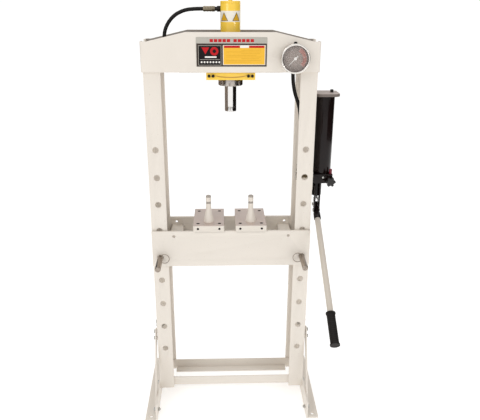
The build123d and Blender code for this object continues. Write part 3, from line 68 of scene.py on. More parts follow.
look = Vector(
    (
        math.cos(CAMERA_PITCH) * math.sin(CAMERA_YAW),
        math.cos(CAMERA_PITCH) * math.cos(CAMERA_YAW),
        -math.sin(CAMERA_PITCH),
    )
)
level_right = Vector((math.cos(CAMERA_YAW), -math.sin(CAMERA_YAW), 0.0))
level_up = level_right.cross(look)
camera_right = math.cos(CAMERA_ROLL) * level_right + math.sin(CAMERA_ROLL) * level_up
camera_up = math.cos(CAMERA_ROLL) * level_up - math.sin(CAMERA_ROLL) * level_right
camera_data = bpy.data.cameras.new("studio_camera")
camera_data.lens = CAMERA_LENS
camera_data.sensor_width = 36.0
camera_data.clip_end = 2000.0
camera = bpy.data.objects.new("studio_camera", camera_data)
turn = Matrix((camera_right, camera_up, -look)).transposed().to_4x4()
camera.matrix_world = Matrix.Translation(CAMERA_AT) @ turn
bpy.context.collection.objects.link(camera)
bpy.context.scene.camera = camera
bpy.context.scene.view_settings.view_transform = "Standard"


def paint(hex_colour):
    """An sRGB hex colour as linear red, green, blue and full alpha."""
    parts = [int(hex_colour[i : i + 2], 16) / 255 for i in (0, 2, 4)]
    linear = [c / 12.92 if c <= 0.04045 else ((c + 0.055) / 1.055) ** 2.4 for c in parts]
    return (*linear, 1.0)


def add_node(tree, kind, inputs=None, **settings):
    """Adds a node with its settings, and sets or links its inputs."""
    made = tree.nodes.new(kind)
    for name, value in settings.items():
        setattr(made, name, value)
    for name, value in (inputs or {}).items():
        if isinstance(value, bpy.types.NodeSocket):
            tree.links.new(value, made.inputs[name])
        else:
            made.inputs[name].default_value = value
    return made


def new_material(name):
    """A named material with its node tree, its principled shader and its coordinates."""
    made = bpy.data.materials.new(name)
    made.use_nodes = True
    place = add_node(made.node_tree, "ShaderNodeTexCoord")
    return made, made.node_tree, made.node_tree.nodes["Principled BSDF"], place


def dress(tree, shader, colour, rough=None, skin=None):
    """Links a colour to the shader and, where they are given, a roughness and a fine relief."""
    for socket, name in ((colour, "Base Color"), (rough, "Roughness"), (skin, "Normal")):
        if socket:
            tree.links.new(socket, shader.inputs[name])


def finish_piece(form, name, body, material, smooth_under=35.0):
    """Turns a bmesh into a piece that rides on a body."""
    mesh = bpy.data.meshes.new(name)
    form.to_mesh(mesh)
    form.free()
    mesh.polygons.foreach_set("use_smooth", [True] * len(mesh.polygons))
    mesh.set_sharp_from_angle(angle=math.radians(smooth_under))
    mesh.materials.append(material)
    piece = bpy.data.objects.new(name, mesh)
    bpy.context.collection.objects.link(piece)
    if body:
        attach(piece, body)
    return piece


# Seamless studio floor: matt white paper that glows a little, so it stays white to the horizon.
floor_paper, tree, shader, place = new_material("floor_paper")
fibre = add_node(
    tree, "ShaderNodeTexNoise", {"Vector": place.outputs["Object"], "Scale": 40.0, "Detail": 2.0}
)
paper = add_node(
    tree,
    "ShaderNodeMix",
    {0: fibre.outputs["Fac"], 6: paint("F4F3F2"), 7: paint("F8F8F7")},
    data_type="RGBA",
)
dress(tree, shader, paper.outputs[2])
shader.inputs["Roughness"].default_value = 0.9
shader.inputs["Specular IOR Level"].default_value = 0.1
shader.inputs["Emission Color"].default_value = (1.0, 1.0, 1.0, 1.0)
shader.inputs["Emission Strength"].default_value = 0.36
form = bmesh.new()
bmesh.ops.create_grid(form, x_segments=1, y_segments=1, size=FLOOR_HALF)
floor = finish_piece(form, "studio_floor", None, floor_paper)

sky = bpy.data.worlds.new("studio_sky")
bpy.context.scene.world = sky
sky.use_nodes = True
tree = sky.node_tree
heading = add_node(tree, "ShaderNodeTexCoord")
toward_key = add_node(
    tree,
    "ShaderNodeVectorMath",
    {0: heading.outputs["Generated"], 1: (-0.58, -0.62, 0.53)},
    operation="DOT_PRODUCT",
)
strength = add_node(
    tree,
    "ShaderNodeMapRange",
    {
        "Value": toward_key.outputs["Value"],
        "From Min": -0.6,
        "From Max": 1.0,
        "To Min": 0.58,
        "To Max": 0.86,
    },
)
background = tree.nodes["Background"]
background.inputs["Color"].default_value = (1.0, 1.0, 1.0, 1.0)
tree.links.new(strength.outputs["Result"], background.inputs["Strength"])

SOFT_BOXES = [
    ("key_box", (-1.9, -2.6, 3.0), (0.0, 0.0, 0.8), 1.4, 17.0),
    ("fill_box", (2.6, -2.2, 2.2), (0.0, 0.0, 0.8), 0.5, 9.0),
    ("top_box", (0.0, 0.3, 4.2), (0.0, 0.0, 0.8), 2.2, 20.0),
]
for box_name, spot, target, size, power in SOFT_BOXES:
    lamp = bpy.data.lights.new(box_name, "AREA")
    lamp.size = size
    lamp.energy = power
    holder = bpy.data.objects.new(box_name, lamp)
    holder.location = spot
    holder.rotation_euler = (Vector(target) - Vector(spot)).to_track_quat("-Z", "Y").to_euler()
    bpy.context.collection.objects.link(holder)


def new_cloth(name, colour):
    """Studio flag cloth: matt black or brown felt."""
    made, tree, shader, place = new_material(name)
    felt = add_node(
        tree,
        "ShaderNodeTexNoise",
        {"Vector": place.outputs["Object"], "Scale": 300.0, "Detail": 2.0},
    )
    rough = add_node(
        tree, "ShaderNodeMapRange", {"Value": felt.outputs["Fac"], "To Min": 0.85, "To Max": 0.95}
    )
    tree.links.new(rough.outputs["Result"], shader.inputs["Roughness"])
    shader.inputs["Base Color"].default_value = paint(colour)
    shader.inputs["Specular IOR Level"].default_value = 0.1
    return made


black_felt = new_cloth("black_felt", "171312")
brown_felt = new_cloth("brown_felt", "8F8278")
# Each flag: name, cloth, radius, bearings of its two edges from straight ahead, height range.
FLAGS = [
    ("flag_right", black_felt, 0.19, 46.0, 170.0, 1.10, 1.345),
    ("flag_left", brown_felt, 0.19, -170.0, -56.0, 1.10, 1.345),
    ("flag_middle", brown_felt, 0.90, -15.0, -3.0, 0.95, 1.30),
    ("flag_far_right", black_felt, 4.2, 38.0, 132.0, 0.02, 3.0),
    ("flag_far_left", black_felt, 4.2, -150.0, -46.0, 0.02, 3.0),
]
for flag_name, cloth, radius, first_turn, last_turn, low, high in FLAGS:
    form = bmesh.new()
    edge_ends = [form.verts.new((0.0, -radius, z)) for z in (low, high)]
    form.edges.new(edge_ends)
    bmesh.ops.rotate(
        form,
        cent=(0, 0, 0),
        matrix=Matrix.Rotation(math.radians(first_turn), 3, "Z"),
        verts=form.verts,
    )
    sweep = math.radians(last_turn - first_turn)
    bmesh.ops.spin(
        form,
        geom=form.verts[:] + form.edges[:],
        cent=(0, 0, 0),
        axis=(0, 0, 1),
        angle=sweep,
        steps=24,
    )
    flag = finish_piece(form, flag_name, None, cloth)
    flag.visible_camera = False
    flag.visible_diffuse = False
    flag.visible_shadow = False

# ---- Uprights, head, crossbars and feet
# Rolled steel channels, plate, angle and flat bar, welded and bolted, sprayed with cream enamel.
# Their sharp edges are eased by the paint, and the paint has a fine orange-peel surface.

# Cream enamel: smooth sprayed gloss paint, a little soft in its shine and faintly mottled,
# with a few dust specks.
cream_enamel, tree, shader, place = new_material("cream_enamel")
cloud = add_node(
    tree, "ShaderNodeTexNoise", {"Vector": place.outputs["Object"], "Scale": 5.0, "Detail": 6.0}
)
specks = add_node(
    tree, "ShaderNodeTexNoise", {"Vector": place.outputs["Object"], "Scale": 160.0, "Detail": 3.0}
)
marks = add_node(
    tree, "ShaderNodeMapRange", {"Value": specks.outputs["Fac"], "From Min": 0.66, "From Max": 0.8}
)
tone = add_node(
    tree,
    "ShaderNodeMix",
    {0: cloud.outputs["Fac"], 6: paint("DFD7CC"), 7: paint("E7DFD5")},
    data_type="RGBA",
)
dust_and_lit_top = add_node(
    tree,
    "ShaderNodeMix",
    {0: marks.outputs["Result"], 6: tone.outputs[2], 7: paint("C9BFB1")},
    data_type="RGBA",
)
rough = add_node(
    tree, "ShaderNodeMapRange", {"Value": cloud.outputs["Fac"], "To Min": 0.34, "To Max": 0.5}
)
peel = add_node(
    tree, "ShaderNodeTexNoise", {"Vector": place.outputs["Object"], "Scale": 420.0, "Detail": 2.0}
)
skin = add_node(
    tree, "ShaderNodeBump", {"Height": peel.outputs["Fac"], "Strength": 0.12, "Distance": 0.0004}
)
dress(tree, shader, dust_and_lit_top.outputs[2], rough.outputs["Result"], skin.outputs["Normal"])
shader.inputs["Coat Weight"].default_value = 0.15
shader.inputs["Coat Roughness"].default_value = 0.2


def eased(node, body, material, width, steps=2, crease=28.0):
    """A copy of a CAD node with its sharp edges rounded, which stands for it."""
    form = bmesh.new()
    form.from_mesh(frame["nodes"][node].data)
    bmesh.ops.remove_doubles(form, verts=form.verts, dist=0.00002)
    bmesh.ops.dissolve_limit(
        form,
        angle_limit=math.radians(0.3),
        use_dissolve_boundaries=False,
        verts=form.verts,
        edges=form.edges,
    )
    joined = [e for e in form.edges if len(e.link_faces) == 2]
    sharp = [e for e in joined if e.calc_face_angle() > math.radians(crease)]
    bmesh.ops.bevel(
        form,
        geom=sharp,
        offset=width,
        offset_type="OFFSET",
        affect="EDGES",
        segments=steps,
        profile=0.5,
        material=-1,
        clamp_overlap=True,
    )
    piece = finish_piece(form, f"{node}_eased", body, material, 40.0)
    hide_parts(node)
    return piece


for node in ("left_upright", "right_upright"):
    eased(node, "frame", cream_enamel, 0.0012)

# Inside enamel: cream outside, with painted shade inside the head: the plates' inner faces are
# coloured grey where shade falls between them.
INSIDE_HALF_X = 0.3045
INSIDE_HALF_Y = 0.0704
INSIDE_LOW_Z = 1.3892
head_enamel_with_painted_shade, tree, shader, place = new_material("head_enamel_with_painted_shade")
split = add_node(tree, "ShaderNodeSeparateXYZ", {"Vector": place.outputs["Object"]})
between = add_node(
    tree, "ShaderNodeMath", {0: split.outputs["Y"], 1: 0.0, 2: INSIDE_HALF_Y}, operation="COMPARE"
)
above = add_node(
    tree, "ShaderNodeMath", {0: split.outputs["Z"], 1: INSIDE_LOW_Z}, operation="GREATER_THAN"
)
inboard = add_node(
    tree, "ShaderNodeMath", {0: split.outputs["X"], 1: 0.0, 2: INSIDE_HALF_X}, operation="COMPARE"
)
deep = add_node(
    tree,
    "ShaderNodeMath",
    {0: between.outputs["Value"], 1: above.outputs["Value"]},
    operation="MULTIPLY",
)
inside = add_node(
    tree,
    "ShaderNodeMath",
    {0: deep.outputs["Value"], 1: inboard.outputs["Value"]},
    operation="MULTIPLY",
)
cloud = add_node(
    tree, "ShaderNodeTexNoise", {"Vector": place.outputs["Object"], "Scale": 9.0, "Detail": 6.0}
)
# Painted shade: the grey given to the head's inner faces.
painted_shade_grey = add_node(
    tree,
    "ShaderNodeMix",
    {0: cloud.outputs["Fac"], 6: paint("7C756F"), 7: paint("A39A91")},
    data_type="RGBA",
)
cream = add_node(
    tree,
    "ShaderNodeMix",
    {0: cloud.outputs["Fac"], 6: paint("DFD7CC"), 7: paint("E7DFD5")},
    data_type="RGBA",
)
tone = add_node(
    tree,
    "ShaderNodeMix",
    {0: inside.outputs["Value"], 6: cream.outputs[2], 7: painted_shade_grey.outputs[2]},
    data_type="RGBA",
)
rough = add_node(
    tree, "ShaderNodeMapRange", {"Value": cloud.outputs["Fac"], "To Min": 0.34, "To Max": 0.5}
)
dress(tree, shader, tone.outputs[2], rough.outputs["Result"])
shader.inputs["Coat Weight"].default_value = 0.15
shader.inputs["Coat Roughness"].default_value = 0.2
for node in ("head_front_plate", "head_rear_plate", "head_floor"):
    eased(node, "frame", head_enamel_with_painted_shade, 0.0010)
LIGHT_MEMBERS = [
    "front_crossbar", "rear_crossbar", "left_foot", "right_foot", "left_braces", "right_braces"
]
for node in LIGHT_MEMBERS:
    eased(node, "frame", cream_enamel, 0.0008)

# ---- Weld beads
# Fillet welds where the head, its floor and gussets, and the crossbars meet the uprights.
# Each bead is a row of overlapping ripples 2.4 mm apart, painted over with the frame.
BEAD_PITCH = 0.0024


def add_weld(start, end, radius):
    """A ripple of metal every few millimetres from start to end."""
    first, last = Vector(start), Vector(end)
    count = max(2, round((last - first).length / BEAD_PITCH))
    bead = bmesh.new()
    for step in range(count + 1):
        middle = first.lerp(last, step / count)
        swell = radius * (1.0 + 0.12 * math.sin(step * 1.7) * math.cos(step * 0.6))
        bmesh.ops.create_icosphere(
            bead, subdivisions=1, radius=swell, matrix=Matrix.Translation(middle)
        )
    weld_number = sum(o.name.startswith("weld_") for o in bpy.data.objects) + 1
    finish_piece(bead, f"weld_{weld_number:02d}", "frame", cream_enamel, 80.0)


# Beads run up the uprights inside the head, along both gussets, up the crossbars' ends,
# and along both edges of the head's floor, above and below it.
UPRIGHT_EDGE_X = 0.2445
GUSSET_SIDES_X = (0.093, 0.099)
FLOOR_WELD_HALF = 0.178
for side in (-1, 1):
    for face in (-1, 1):
        toe = (side * UPRIGHT_EDGE_X, face * 0.0695)
        add_weld((*toe, 1.380), (*toe, 1.448), 0.0030)
        for gusset_x in GUSSET_SIDES_X:
            seam = (side * gusset_x, face * 0.0665)
            add_weld((*seam, 1.3915), (*seam, 1.468), 0.0028)
        bar_end = (side * UPRIGHT_EDGE_X, face * 0.0615)
        add_weld((*bar_end, 0.066), (*bar_end, 0.101), 0.0026)
for face in (-1, 1):
    for height, radius in ((1.3785, 0.0026), (1.3910, 0.0028)):
        seam = (face * 0.0685, height)
        add_weld((-FLOOR_WELD_HALF, *seam), (FLOOR_WELD_HALF, *seam), radius)

# ---- Frame bolts
# M8 hexagon bolts, nuts and washers that hold the feet and braces to the uprights.
# Rolled and forged steel with bright zinc plating.

# Zinc plate: pale bluish-grey metal with a fine spangle and uneven shine.
zinc_plate, tree, shader, place = new_material("zinc_plate")
spangle = add_node(
    tree, "ShaderNodeTexNoise", {"Vector": place.outputs["Object"], "Scale": 260.0, "Detail": 4.0}
)
tone = add_node(
    tree,
    "ShaderNodeMix",
    {0: spangle.outputs["Fac"], 6: paint("A9A7A2"), 7: paint("D6D4CF")},
    data_type="RGBA",
)
rough = add_node(
    tree, "ShaderNodeMapRange", {"Value": spangle.outputs["Fac"], "To Min": 0.22, "To Max": 0.42}
)
fine = add_node(
    tree, "ShaderNodeTexNoise", {"Vector": place.outputs["Object"], "Scale": 1800.0, "Detail": 2.0}
)
skin = add_node(
    tree, "ShaderNodeBump", {"Height": fine.outputs["Fac"], "Strength": 0.15, "Distance": 0.0001}
)
dress(tree, shader, tone.outputs[2], rough.outputs["Result"], skin.outputs["Normal"])
shader.inputs["Metallic"].default_value = 1.0
eased("frame_bolts", "frame", zinc_plate, 0.0004)

# ---- Nameplate
# Thin aluminium sheet, screen printed in black, red, white and yellow, and stuck to the head.
# Its marks are plain shapes: bars, dots, a triangle and a ring.
PLATE_FACE_Y = -0.0770
INK_T = 0.00004

# Anodised aluminium: satin silver with a fine horizontal brush, drawn 0.4 mm apart so that it shows.
plate_silver, tree, shader, place = new_material("plate_silver")
along = add_node(
    tree, "ShaderNodeMapping", {"Vector": place.outputs["Object"], "Scale": (20.0, 20.0, 2500.0)}
)
brush = add_node(
    tree, "ShaderNodeTexNoise", {"Vector": along.outputs["Vector"], "Scale": 1.0, "Detail": 2.0}
)
tone = add_node(
    tree,
    "ShaderNodeMix",
    {0: brush.outputs["Fac"], 6: paint("AFABA1"), 7: paint("C3BFB5")},
    data_type="RGBA",
)
rough = add_node(
    tree, "ShaderNodeMapRange", {"Value": brush.outputs["Fac"], "To Min": 0.38, "To Max": 0.55}
)
dress(tree, shader, tone.outputs[2], rough.outputs["Result"])
shader.inputs["Metallic"].default_value = 0.35
eased("nameplate", "frame", plate_silver, 0.0003)


def new_ink(name, dark, light):
    """Screen-printing ink: flat colour with a faint uneven coat, under a thin clear film."""
    made, tree, shader, place = new_material(name)
    coat = add_node(
        tree,
        "ShaderNodeTexNoise",
        {"Vector": place.outputs["Object"], "Scale": 130.0, "Detail": 3.0},
    )
    tone = add_node(
        tree,
        "ShaderNodeMix",
        {0: coat.outputs["Fac"], 6: paint(dark), 7: paint(light)},
        data_type="RGBA",
    )
    rough = add_node(
        tree, "ShaderNodeMapRange", {"Value": coat.outputs["Fac"], "To Min": 0.28, "To Max": 0.4}
    )
    dress(tree, shader, tone.outputs[2], rough.outputs["Result"])
    shader.inputs["Specular IOR Level"].default_value = 0.2
    return made


def print_bar(form, left, right, low, high, layer):
    """A printed rectangle; sizes in millimetres on the plate, later layers lie on earlier ones."""
    middle = Matrix.Translation(
        ((left + right) / 2000, PLATE_FACE_Y - INK_T * layer, (low + high) / 2000)
    )
    stretch = Matrix.Diagonal(((right - left) / 1000, 1.0, (high - low) / 1000, 1.0))
    face_front = Matrix.Rotation(math.pi / 2, 4, "X")
    bmesh.ops.create_grid(
        form, x_segments=1, y_segments=1, size=0.5, matrix=middle @ stretch @ face_front
    )


def print_ring(form, x, z, radius, layer, segments, filled):
    """A printed outline round a point, filled for a dot or a triangle; sizes in millimetres."""
    spot = Matrix.Translation((x / 1000, PLATE_FACE_Y - INK_T * layer, z / 1000))
    upright = spot @ Matrix.Rotation(math.pi / 2, 4, "X") @ Matrix.Rotation(math.pi, 4, "Z")
    bmesh.ops.create_circle(
        form, cap_ends=filled, radius=radius / 1000, segments=segments, matrix=upright
    )


black_ink = new_ink("black_ink", "0C0909", "151111")
umber_ink = new_ink("umber_ink", "3A302C", "463B35")
red_ink = new_ink("red_ink", "B3141B", "C41D22")
white_ink = new_ink("white_ink", "E6E2DC", "F1EEE8")
yellow_ink = new_ink("yellow_ink", "EBB434", "F1BD42")
amber_ink = new_ink("amber_ink", "D9A22C", "E0AB36")

form = bmesh.new()
print_bar(form, -117.5, 123.5, 1398.5, 1475.0, 1)
finish_piece(form, "plate_border", "frame", umber_ink, 40.0)
form = bmesh.new()
print_bar(form, -111.5, -33.0, 1402.5, 1468.5, 2)
finish_piece(form, "plate_edge_line", "frame", plate_silver, 40.0)
form = bmesh.new()
print_bar(form, -110.3, -34.2, 1403.7, 1467.3, 3)
finish_piece(form, "plate_black_square", "frame", black_ink, 40.0)
form = bmesh.new()
print_bar(form, -27.0, 119.0, 1403.5, 1469.5, 2)
print_bar(form, 32.0, 62.0, 1460.5, 1468.5, 4)
print_bar(form, -89.0, -49.0, 1427.5, 1432.5, 4)
for dot in range(7):
    print_ring(form, -100.5 + 10.15 * dot, 1413.0, 3.2, 4, 24, True)
finish_piece(form, "plate_white_marks", "frame", white_ink, 40.0)
form = bmesh.new()
print_bar(form, -25.0, 117.0, 1405.0, 1468.0, 3)
finish_piece(form, "plate_yellow_panel", "frame", yellow_ink, 40.0)
form = bmesh.new()
for line, (start, stop) in enumerate(
    ((36, 104), (-16, 104), (36, 100), (-16, 88), (-16, 104), (36, 96), (-16, 104), (-16, 70))
):
    print_bar(form, start, stop, 1452.0 - 5.6 * line, 1453.6 - 5.6 * line, 4)
finish_piece(form, "plate_fine_lines", "frame", amber_ink, 40.0)
form = bmesh.new()
print_bar(form, -106.0, -38.0, 1421.0, 1422.2, 4)
finish_piece(form, "plate_grey_line", "frame", plate_silver, 40.0)
form = bmesh.new()
print_bar(form, -23.0, 31.0, 1460.5, 1468.0, 4)
print_bar(form, 63.0, 115.0, 1460.5, 1468.0, 4)
for mark in range(10):
    gap = 8.0 if mark > 4 else 0.0
    print_bar(form, -72.0 + 14.6 * mark + gap, -60.4 + 14.6 * mark + gap, 1479.5, 1489.5, 1)
print_ring(form, -87.0, 1454.5, 15.5, 4, 3, True)
finish_piece(form, "plate_red_marks", "frame", red_ink, 40.0)
form = bmesh.new()
print_ring(form, -56.5, 1449.5, 14.2, 4, 36, False)
print_ring(form, -56.5, 1449.5, 6.2, 4, 36, False)
bmesh.ops.bridge_loops(form, edges=form.edges)
bmesh.ops.recalc_face_normals(form, faces=form.faces)
finish_piece(form, "plate_red_ring", "frame", red_ink, 40.0)

# ---- Hydraulic cylinder and its mount
# Honed steel tube with a screwed cap, carried by a thick flange plate under the head.
# All sprayed with glossy yellow enamel before the black cap screws go in.

# Yellow enamel: deep glossy machine paint, slightly orange where the coat is thick.
# The mount's front carries a shallow curved brown streak between its screws, which is painted shade.
SHADE_STREAK_LOW_Z = 1.3590
SHADE_STREAK_CURVE = 1.94
MOUNT_FRONT_Y = -0.0590
yellow_enamel, tree, shader, place = new_material("yellow_enamel")
cloud = add_node(
    tree, "ShaderNodeTexNoise", {"Vector": place.outputs["Object"], "Scale": 14.0, "Detail": 5.0}
)
tone = add_node(
    tree,
    "ShaderNodeMix",
    {0: cloud.outputs["Fac"], 6: paint("F2C23A"), 7: paint("FCD654")},
    data_type="RGBA",
)
rough = add_node(
    tree, "ShaderNodeMapRange", {"Value": cloud.outputs["Fac"], "To Min": 0.16, "To Max": 0.28}
)
peel = add_node(
    tree, "ShaderNodeTexNoise", {"Vector": place.outputs["Object"], "Scale": 300.0, "Detail": 2.0}
)
skin = add_node(
    tree, "ShaderNodeBump", {"Height": peel.outputs["Fac"], "Strength": 0.1, "Distance": 0.0004}
)
split = add_node(tree, "ShaderNodeSeparateXYZ", {"Vector": place.outputs["Object"]})
# Painted shade: a curved brown streak across the mount's front face.
squared = add_node(
    tree, "ShaderNodeMath", {0: split.outputs["X"], 1: split.outputs["X"]}, operation="MULTIPLY"
)
arc = add_node(
    tree,
    "ShaderNodeMath",
    {0: squared.outputs["Value"], 1: SHADE_STREAK_CURVE, 2: SHADE_STREAK_LOW_Z},
    operation="MULTIPLY_ADD",
)
above = add_node(
    tree, "ShaderNodeMath", {0: split.outputs["Z"], 1: arc.outputs["Value"]}, operation="SUBTRACT"
)
apart = add_node(tree, "ShaderNodeMath", {0: above.outputs["Value"]}, operation="ABSOLUTE")
band = add_node(
    tree,
    "ShaderNodeMapRange",
    {
        "Value": apart.outputs["Value"],
        "From Min": 0.0008,
        "From Max": 0.0032,
        "To Min": 0.8,
        "To Max": 0.0,
    },
)
ends = add_node(
    tree,
    "ShaderNodeMapRange",
    {
        "Value": squared.outputs["Value"],
        "From Min": 0.0022,
        "From Max": 0.0036,
        "To Min": 1.0,
        "To Max": 0.0,
    },
)
front = add_node(
    tree, "ShaderNodeMath", {0: split.outputs["Y"], 1: MOUNT_FRONT_Y}, operation="LESS_THAN"
)
streak = add_node(
    tree,
    "ShaderNodeMath",
    {0: band.outputs["Result"], 1: ends.outputs["Result"]},
    operation="MULTIPLY",
)
painted_shade_streak = add_node(
    tree,
    "ShaderNodeMath",
    {0: streak.outputs["Value"], 1: front.outputs["Value"]},
    operation="MULTIPLY",
)
yellow_with_painted_shade = add_node(
    tree,
    "ShaderNodeMix",
    {0: painted_shade_streak.outputs["Value"], 6: tone.outputs[2], 7: paint("A36A22")},
    data_type="RGBA",
)
dress(tree, shader, yellow_with_painted_shade.outputs[2], rough.outputs["Result"], skin.outputs["Normal"])
shader.inputs["Coat Weight"].default_value = 0.4
shader.inputs["Coat Roughness"].default_value = 0.08
eased("cylinder_mount", "frame", yellow_enamel, 0.0010)
eased("cylinder_tube", "frame", yellow_enamel, 0.0006)
eased("cylinder_cap", "frame", yellow_enamel, 0.0006)

# Black oxide: dark blued steel with a faint oily shine.
black_oxide, tree, shader, place = new_material("black_oxide")
film = add_node(
    tree, "ShaderNodeTexNoise", {"Vector": place.outputs["Object"], "Scale": 300.0, "Detail": 3.0}
)
tone = add_node(
    tree,
    "ShaderNodeMix",
    {0: film.outputs["Fac"], 6: paint("151312"), 7: paint("2A2624")},
    data_type="RGBA",
)
rough = add_node(
    tree, "ShaderNodeMapRange", {"Value": film.outputs["Fac"], "To Min": 0.3, "To Max": 0.5}
)
dress(tree, shader, tone.outputs[2], rough.outputs["Result"])
shader.inputs["Metallic"].default_value = 0.6
eased("mount_screws", "frame", black_oxide, 0.0003)

# Label vinyl: white film wrapped round the tube, with two plain yellow triangles edged in black.
# Sizes are in metres along the tube and across it; bearings are in radians from the front.
LABEL_R = 0.03512
LABEL_LOW = 1.5430
LABEL_HIGH = 1.5790
LABEL_HALF_TURN = 72
LABEL_TWIST = 0.03
TRIANGLE_BEARING = 0.66
TRIANGLE_FOOT = 0.003
TRIANGLE_H = 0.029
TRIANGLE_HALF_W = 0.0158
TRIANGLE_EDGE = 0.0022
TRIANGLE_FOOT_EDGE = 0.0014
label_vinyl, tree, shader, place = new_material("label_vinyl")
split = add_node(tree, "ShaderNodeSeparateXYZ", {"Vector": place.outputs["Object"]})
back = add_node(tree, "ShaderNodeMath", {0: split.outputs["Y"], 1: -1.0}, operation="MULTIPLY")
bearing = add_node(
    tree, "ShaderNodeMath", {0: split.outputs["X"], 1: back.outputs["Value"]}, operation="ARCTAN2"
)
shifted = add_node(
    tree, "ShaderNodeMath", {0: bearing.outputs["Value"], 1: LABEL_TWIST}, operation="ADD"
)
mirrored = add_node(tree, "ShaderNodeMath", {0: shifted.outputs["Value"]}, operation="ABSOLUTE")
centred = add_node(
    tree, "ShaderNodeMath", {0: mirrored.outputs["Value"], 1: TRIANGLE_BEARING}, operation="SUBTRACT"
)
aside = add_node(tree, "ShaderNodeMath", {0: centred.outputs["Value"]}, operation="ABSOLUTE")
across = add_node(
    tree, "ShaderNodeMath", {0: aside.outputs["Value"], 1: LABEL_R}, operation="MULTIPLY"
)
rise = add_node(
    tree, "ShaderNodeMath", {0: split.outputs["Z"], 1: LABEL_LOW + TRIANGLE_FOOT}, operation="SUBTRACT"
)
half = add_node(
    tree,
    "ShaderNodeMapRange",
    {
        "Value": rise.outputs["Value"],
        "From Min": 0.0,
        "From Max": TRIANGLE_H,
        "To Min": TRIANGLE_HALF_W,
        "To Max": 0.0,
    },
)
depth = add_node(
    tree,
    "ShaderNodeMath",
    {0: half.outputs["Result"], 1: across.outputs["Value"]},
    operation="SUBTRACT",
)
above = add_node(
    tree, "ShaderNodeMath", {0: rise.outputs["Value"], 1: 0.0}, operation="GREATER_THAN"
)
outer_edge = add_node(
    tree, "ShaderNodeMath", {0: depth.outputs["Value"], 1: 0.0}, operation="GREATER_THAN"
)
inner_edge = add_node(
    tree, "ShaderNodeMath", {0: depth.outputs["Value"], 1: TRIANGLE_EDGE}, operation="GREATER_THAN"
)
foot_line = add_node(
    tree, "ShaderNodeMath", {0: rise.outputs["Value"], 1: TRIANGLE_FOOT_EDGE}, operation="GREATER_THAN"
)
outer_shape = add_node(
    tree,
    "ShaderNodeMath",
    {0: outer_edge.outputs["Value"], 1: above.outputs["Value"]},
    operation="MULTIPLY",
)
inner_shape = add_node(
    tree,
    "ShaderNodeMath",
    {0: inner_edge.outputs["Value"], 1: foot_line.outputs["Value"]},
    operation="MULTIPLY",
)
edged = add_node(
    tree,
    "ShaderNodeMix",
    {0: outer_shape.outputs["Value"], 6: paint("EFE9DC"), 7: paint("3B3413")},
    data_type="RGBA",
)
label_print = add_node(
    tree,
    "ShaderNodeMix",
    {0: inner_shape.outputs["Value"], 6: edged.outputs[2], 7: paint("D9A514")},
    data_type="RGBA",
)
dress(tree, shader, label_print.outputs[2])
shader.inputs["Roughness"].default_value = 0.3
shader.inputs["Coat Weight"].default_value = 0.3
form = bmesh.new()
edge_ends = [form.verts.new((0.0, -LABEL_R, z)) for z in (LABEL_LOW, LABEL_HIGH)]
form.edges.new(edge_ends)
bmesh.ops.rotate(
    form,
    cent=(0, 0, 0),
    matrix=Matrix.Rotation(math.radians(-LABEL_HALF_TURN), 3, "Z"),
    verts=form.verts,
)
bmesh.ops.spin(
    form,
    geom=form.verts[:] + form.edges[:],
    cent=(0, 0, 0),
    axis=(0, 0, 1),
    angle=math.radians(2 * LABEL_HALF_TURN),
    steps=48,
)
bmesh.ops.recalc_face_normals(form, faces=form.faces)
finish_piece(form, "tube_label", "frame", label_vinyl, 60.0)

# ---- Ring nut and ram
# The ring nut is turned steel that holds the tube in its mount, slotted for a hook wrench.
# The ram is ground and hard chromed, with a screwed steel tip.

# Turned steel: bare lathe-cut metal with fine rings, drawn 0.5 mm apart so that they show.
turned_steel, tree, shader, place = new_material("turned_steel")
rings = add_node(
    tree, "ShaderNodeMapping", {"Vector": place.outputs["Object"], "Scale": (6.0, 6.0, 2000.0)}
)
cut = add_node(
    tree, "ShaderNodeTexNoise", {"Vector": rings.outputs["Vector"], "Scale": 1.0, "Detail": 2.0}
)
oil = add_node(
    tree, "ShaderNodeTexNoise", {"Vector": place.outputs["Object"], "Scale": 40.0, "Detail": 4.0}
)
tone = add_node(
    tree,
    "ShaderNodeMix",
    {0: oil.outputs["Fac"], 6: paint("A79E97"), 7: paint("D8D1CB")},
    data_type="RGBA",
)
rough = add_node(
    tree, "ShaderNodeMapRange", {"Value": cut.outputs["Fac"], "To Min": 0.16, "To Max": 0.3}
)
skin = add_node(
    tree, "ShaderNodeBump", {"Height": cut.outputs["Fac"], "Strength": 0.2, "Distance": 0.0001}
)
dress(tree, shader, tone.outputs[2], rough.outputs["Result"], skin.outputs["Normal"])
shader.inputs["Metallic"].default_value = 1.0
eased("cylinder_ring_nut", "frame", turned_steel, 0.0008)

# Hard chrome: mirror-bright ground metal, a trace of grinding marks round it.
hard_chrome, tree, shader, place = new_material("hard_chrome")
rings = add_node(
    tree, "ShaderNodeMapping", {"Vector": place.outputs["Object"], "Scale": (8.0, 8.0, 1200.0)}
)
ground = add_node(
    tree, "ShaderNodeTexNoise", {"Vector": rings.outputs["Vector"], "Scale": 1.0, "Detail": 2.0}
)
tone = add_node(
    tree,
    "ShaderNodeMix",
    {0: ground.outputs["Fac"], 6: paint("D8D6D4"), 7: paint("E6E4E2")},
    data_type="RGBA",
)
rough = add_node(
    tree, "ShaderNodeMapRange", {"Value": ground.outputs["Fac"], "To Min": 0.06, "To Max": 0.13}
)
dress(tree, shader, tone.outputs[2], rough.outputs["Result"])
shader.inputs["Metallic"].default_value = 1.0
eased("ram_rod", "ram", hard_chrome, 0.0004)
eased("ram_tip", "ram", hard_chrome, 0.0005)

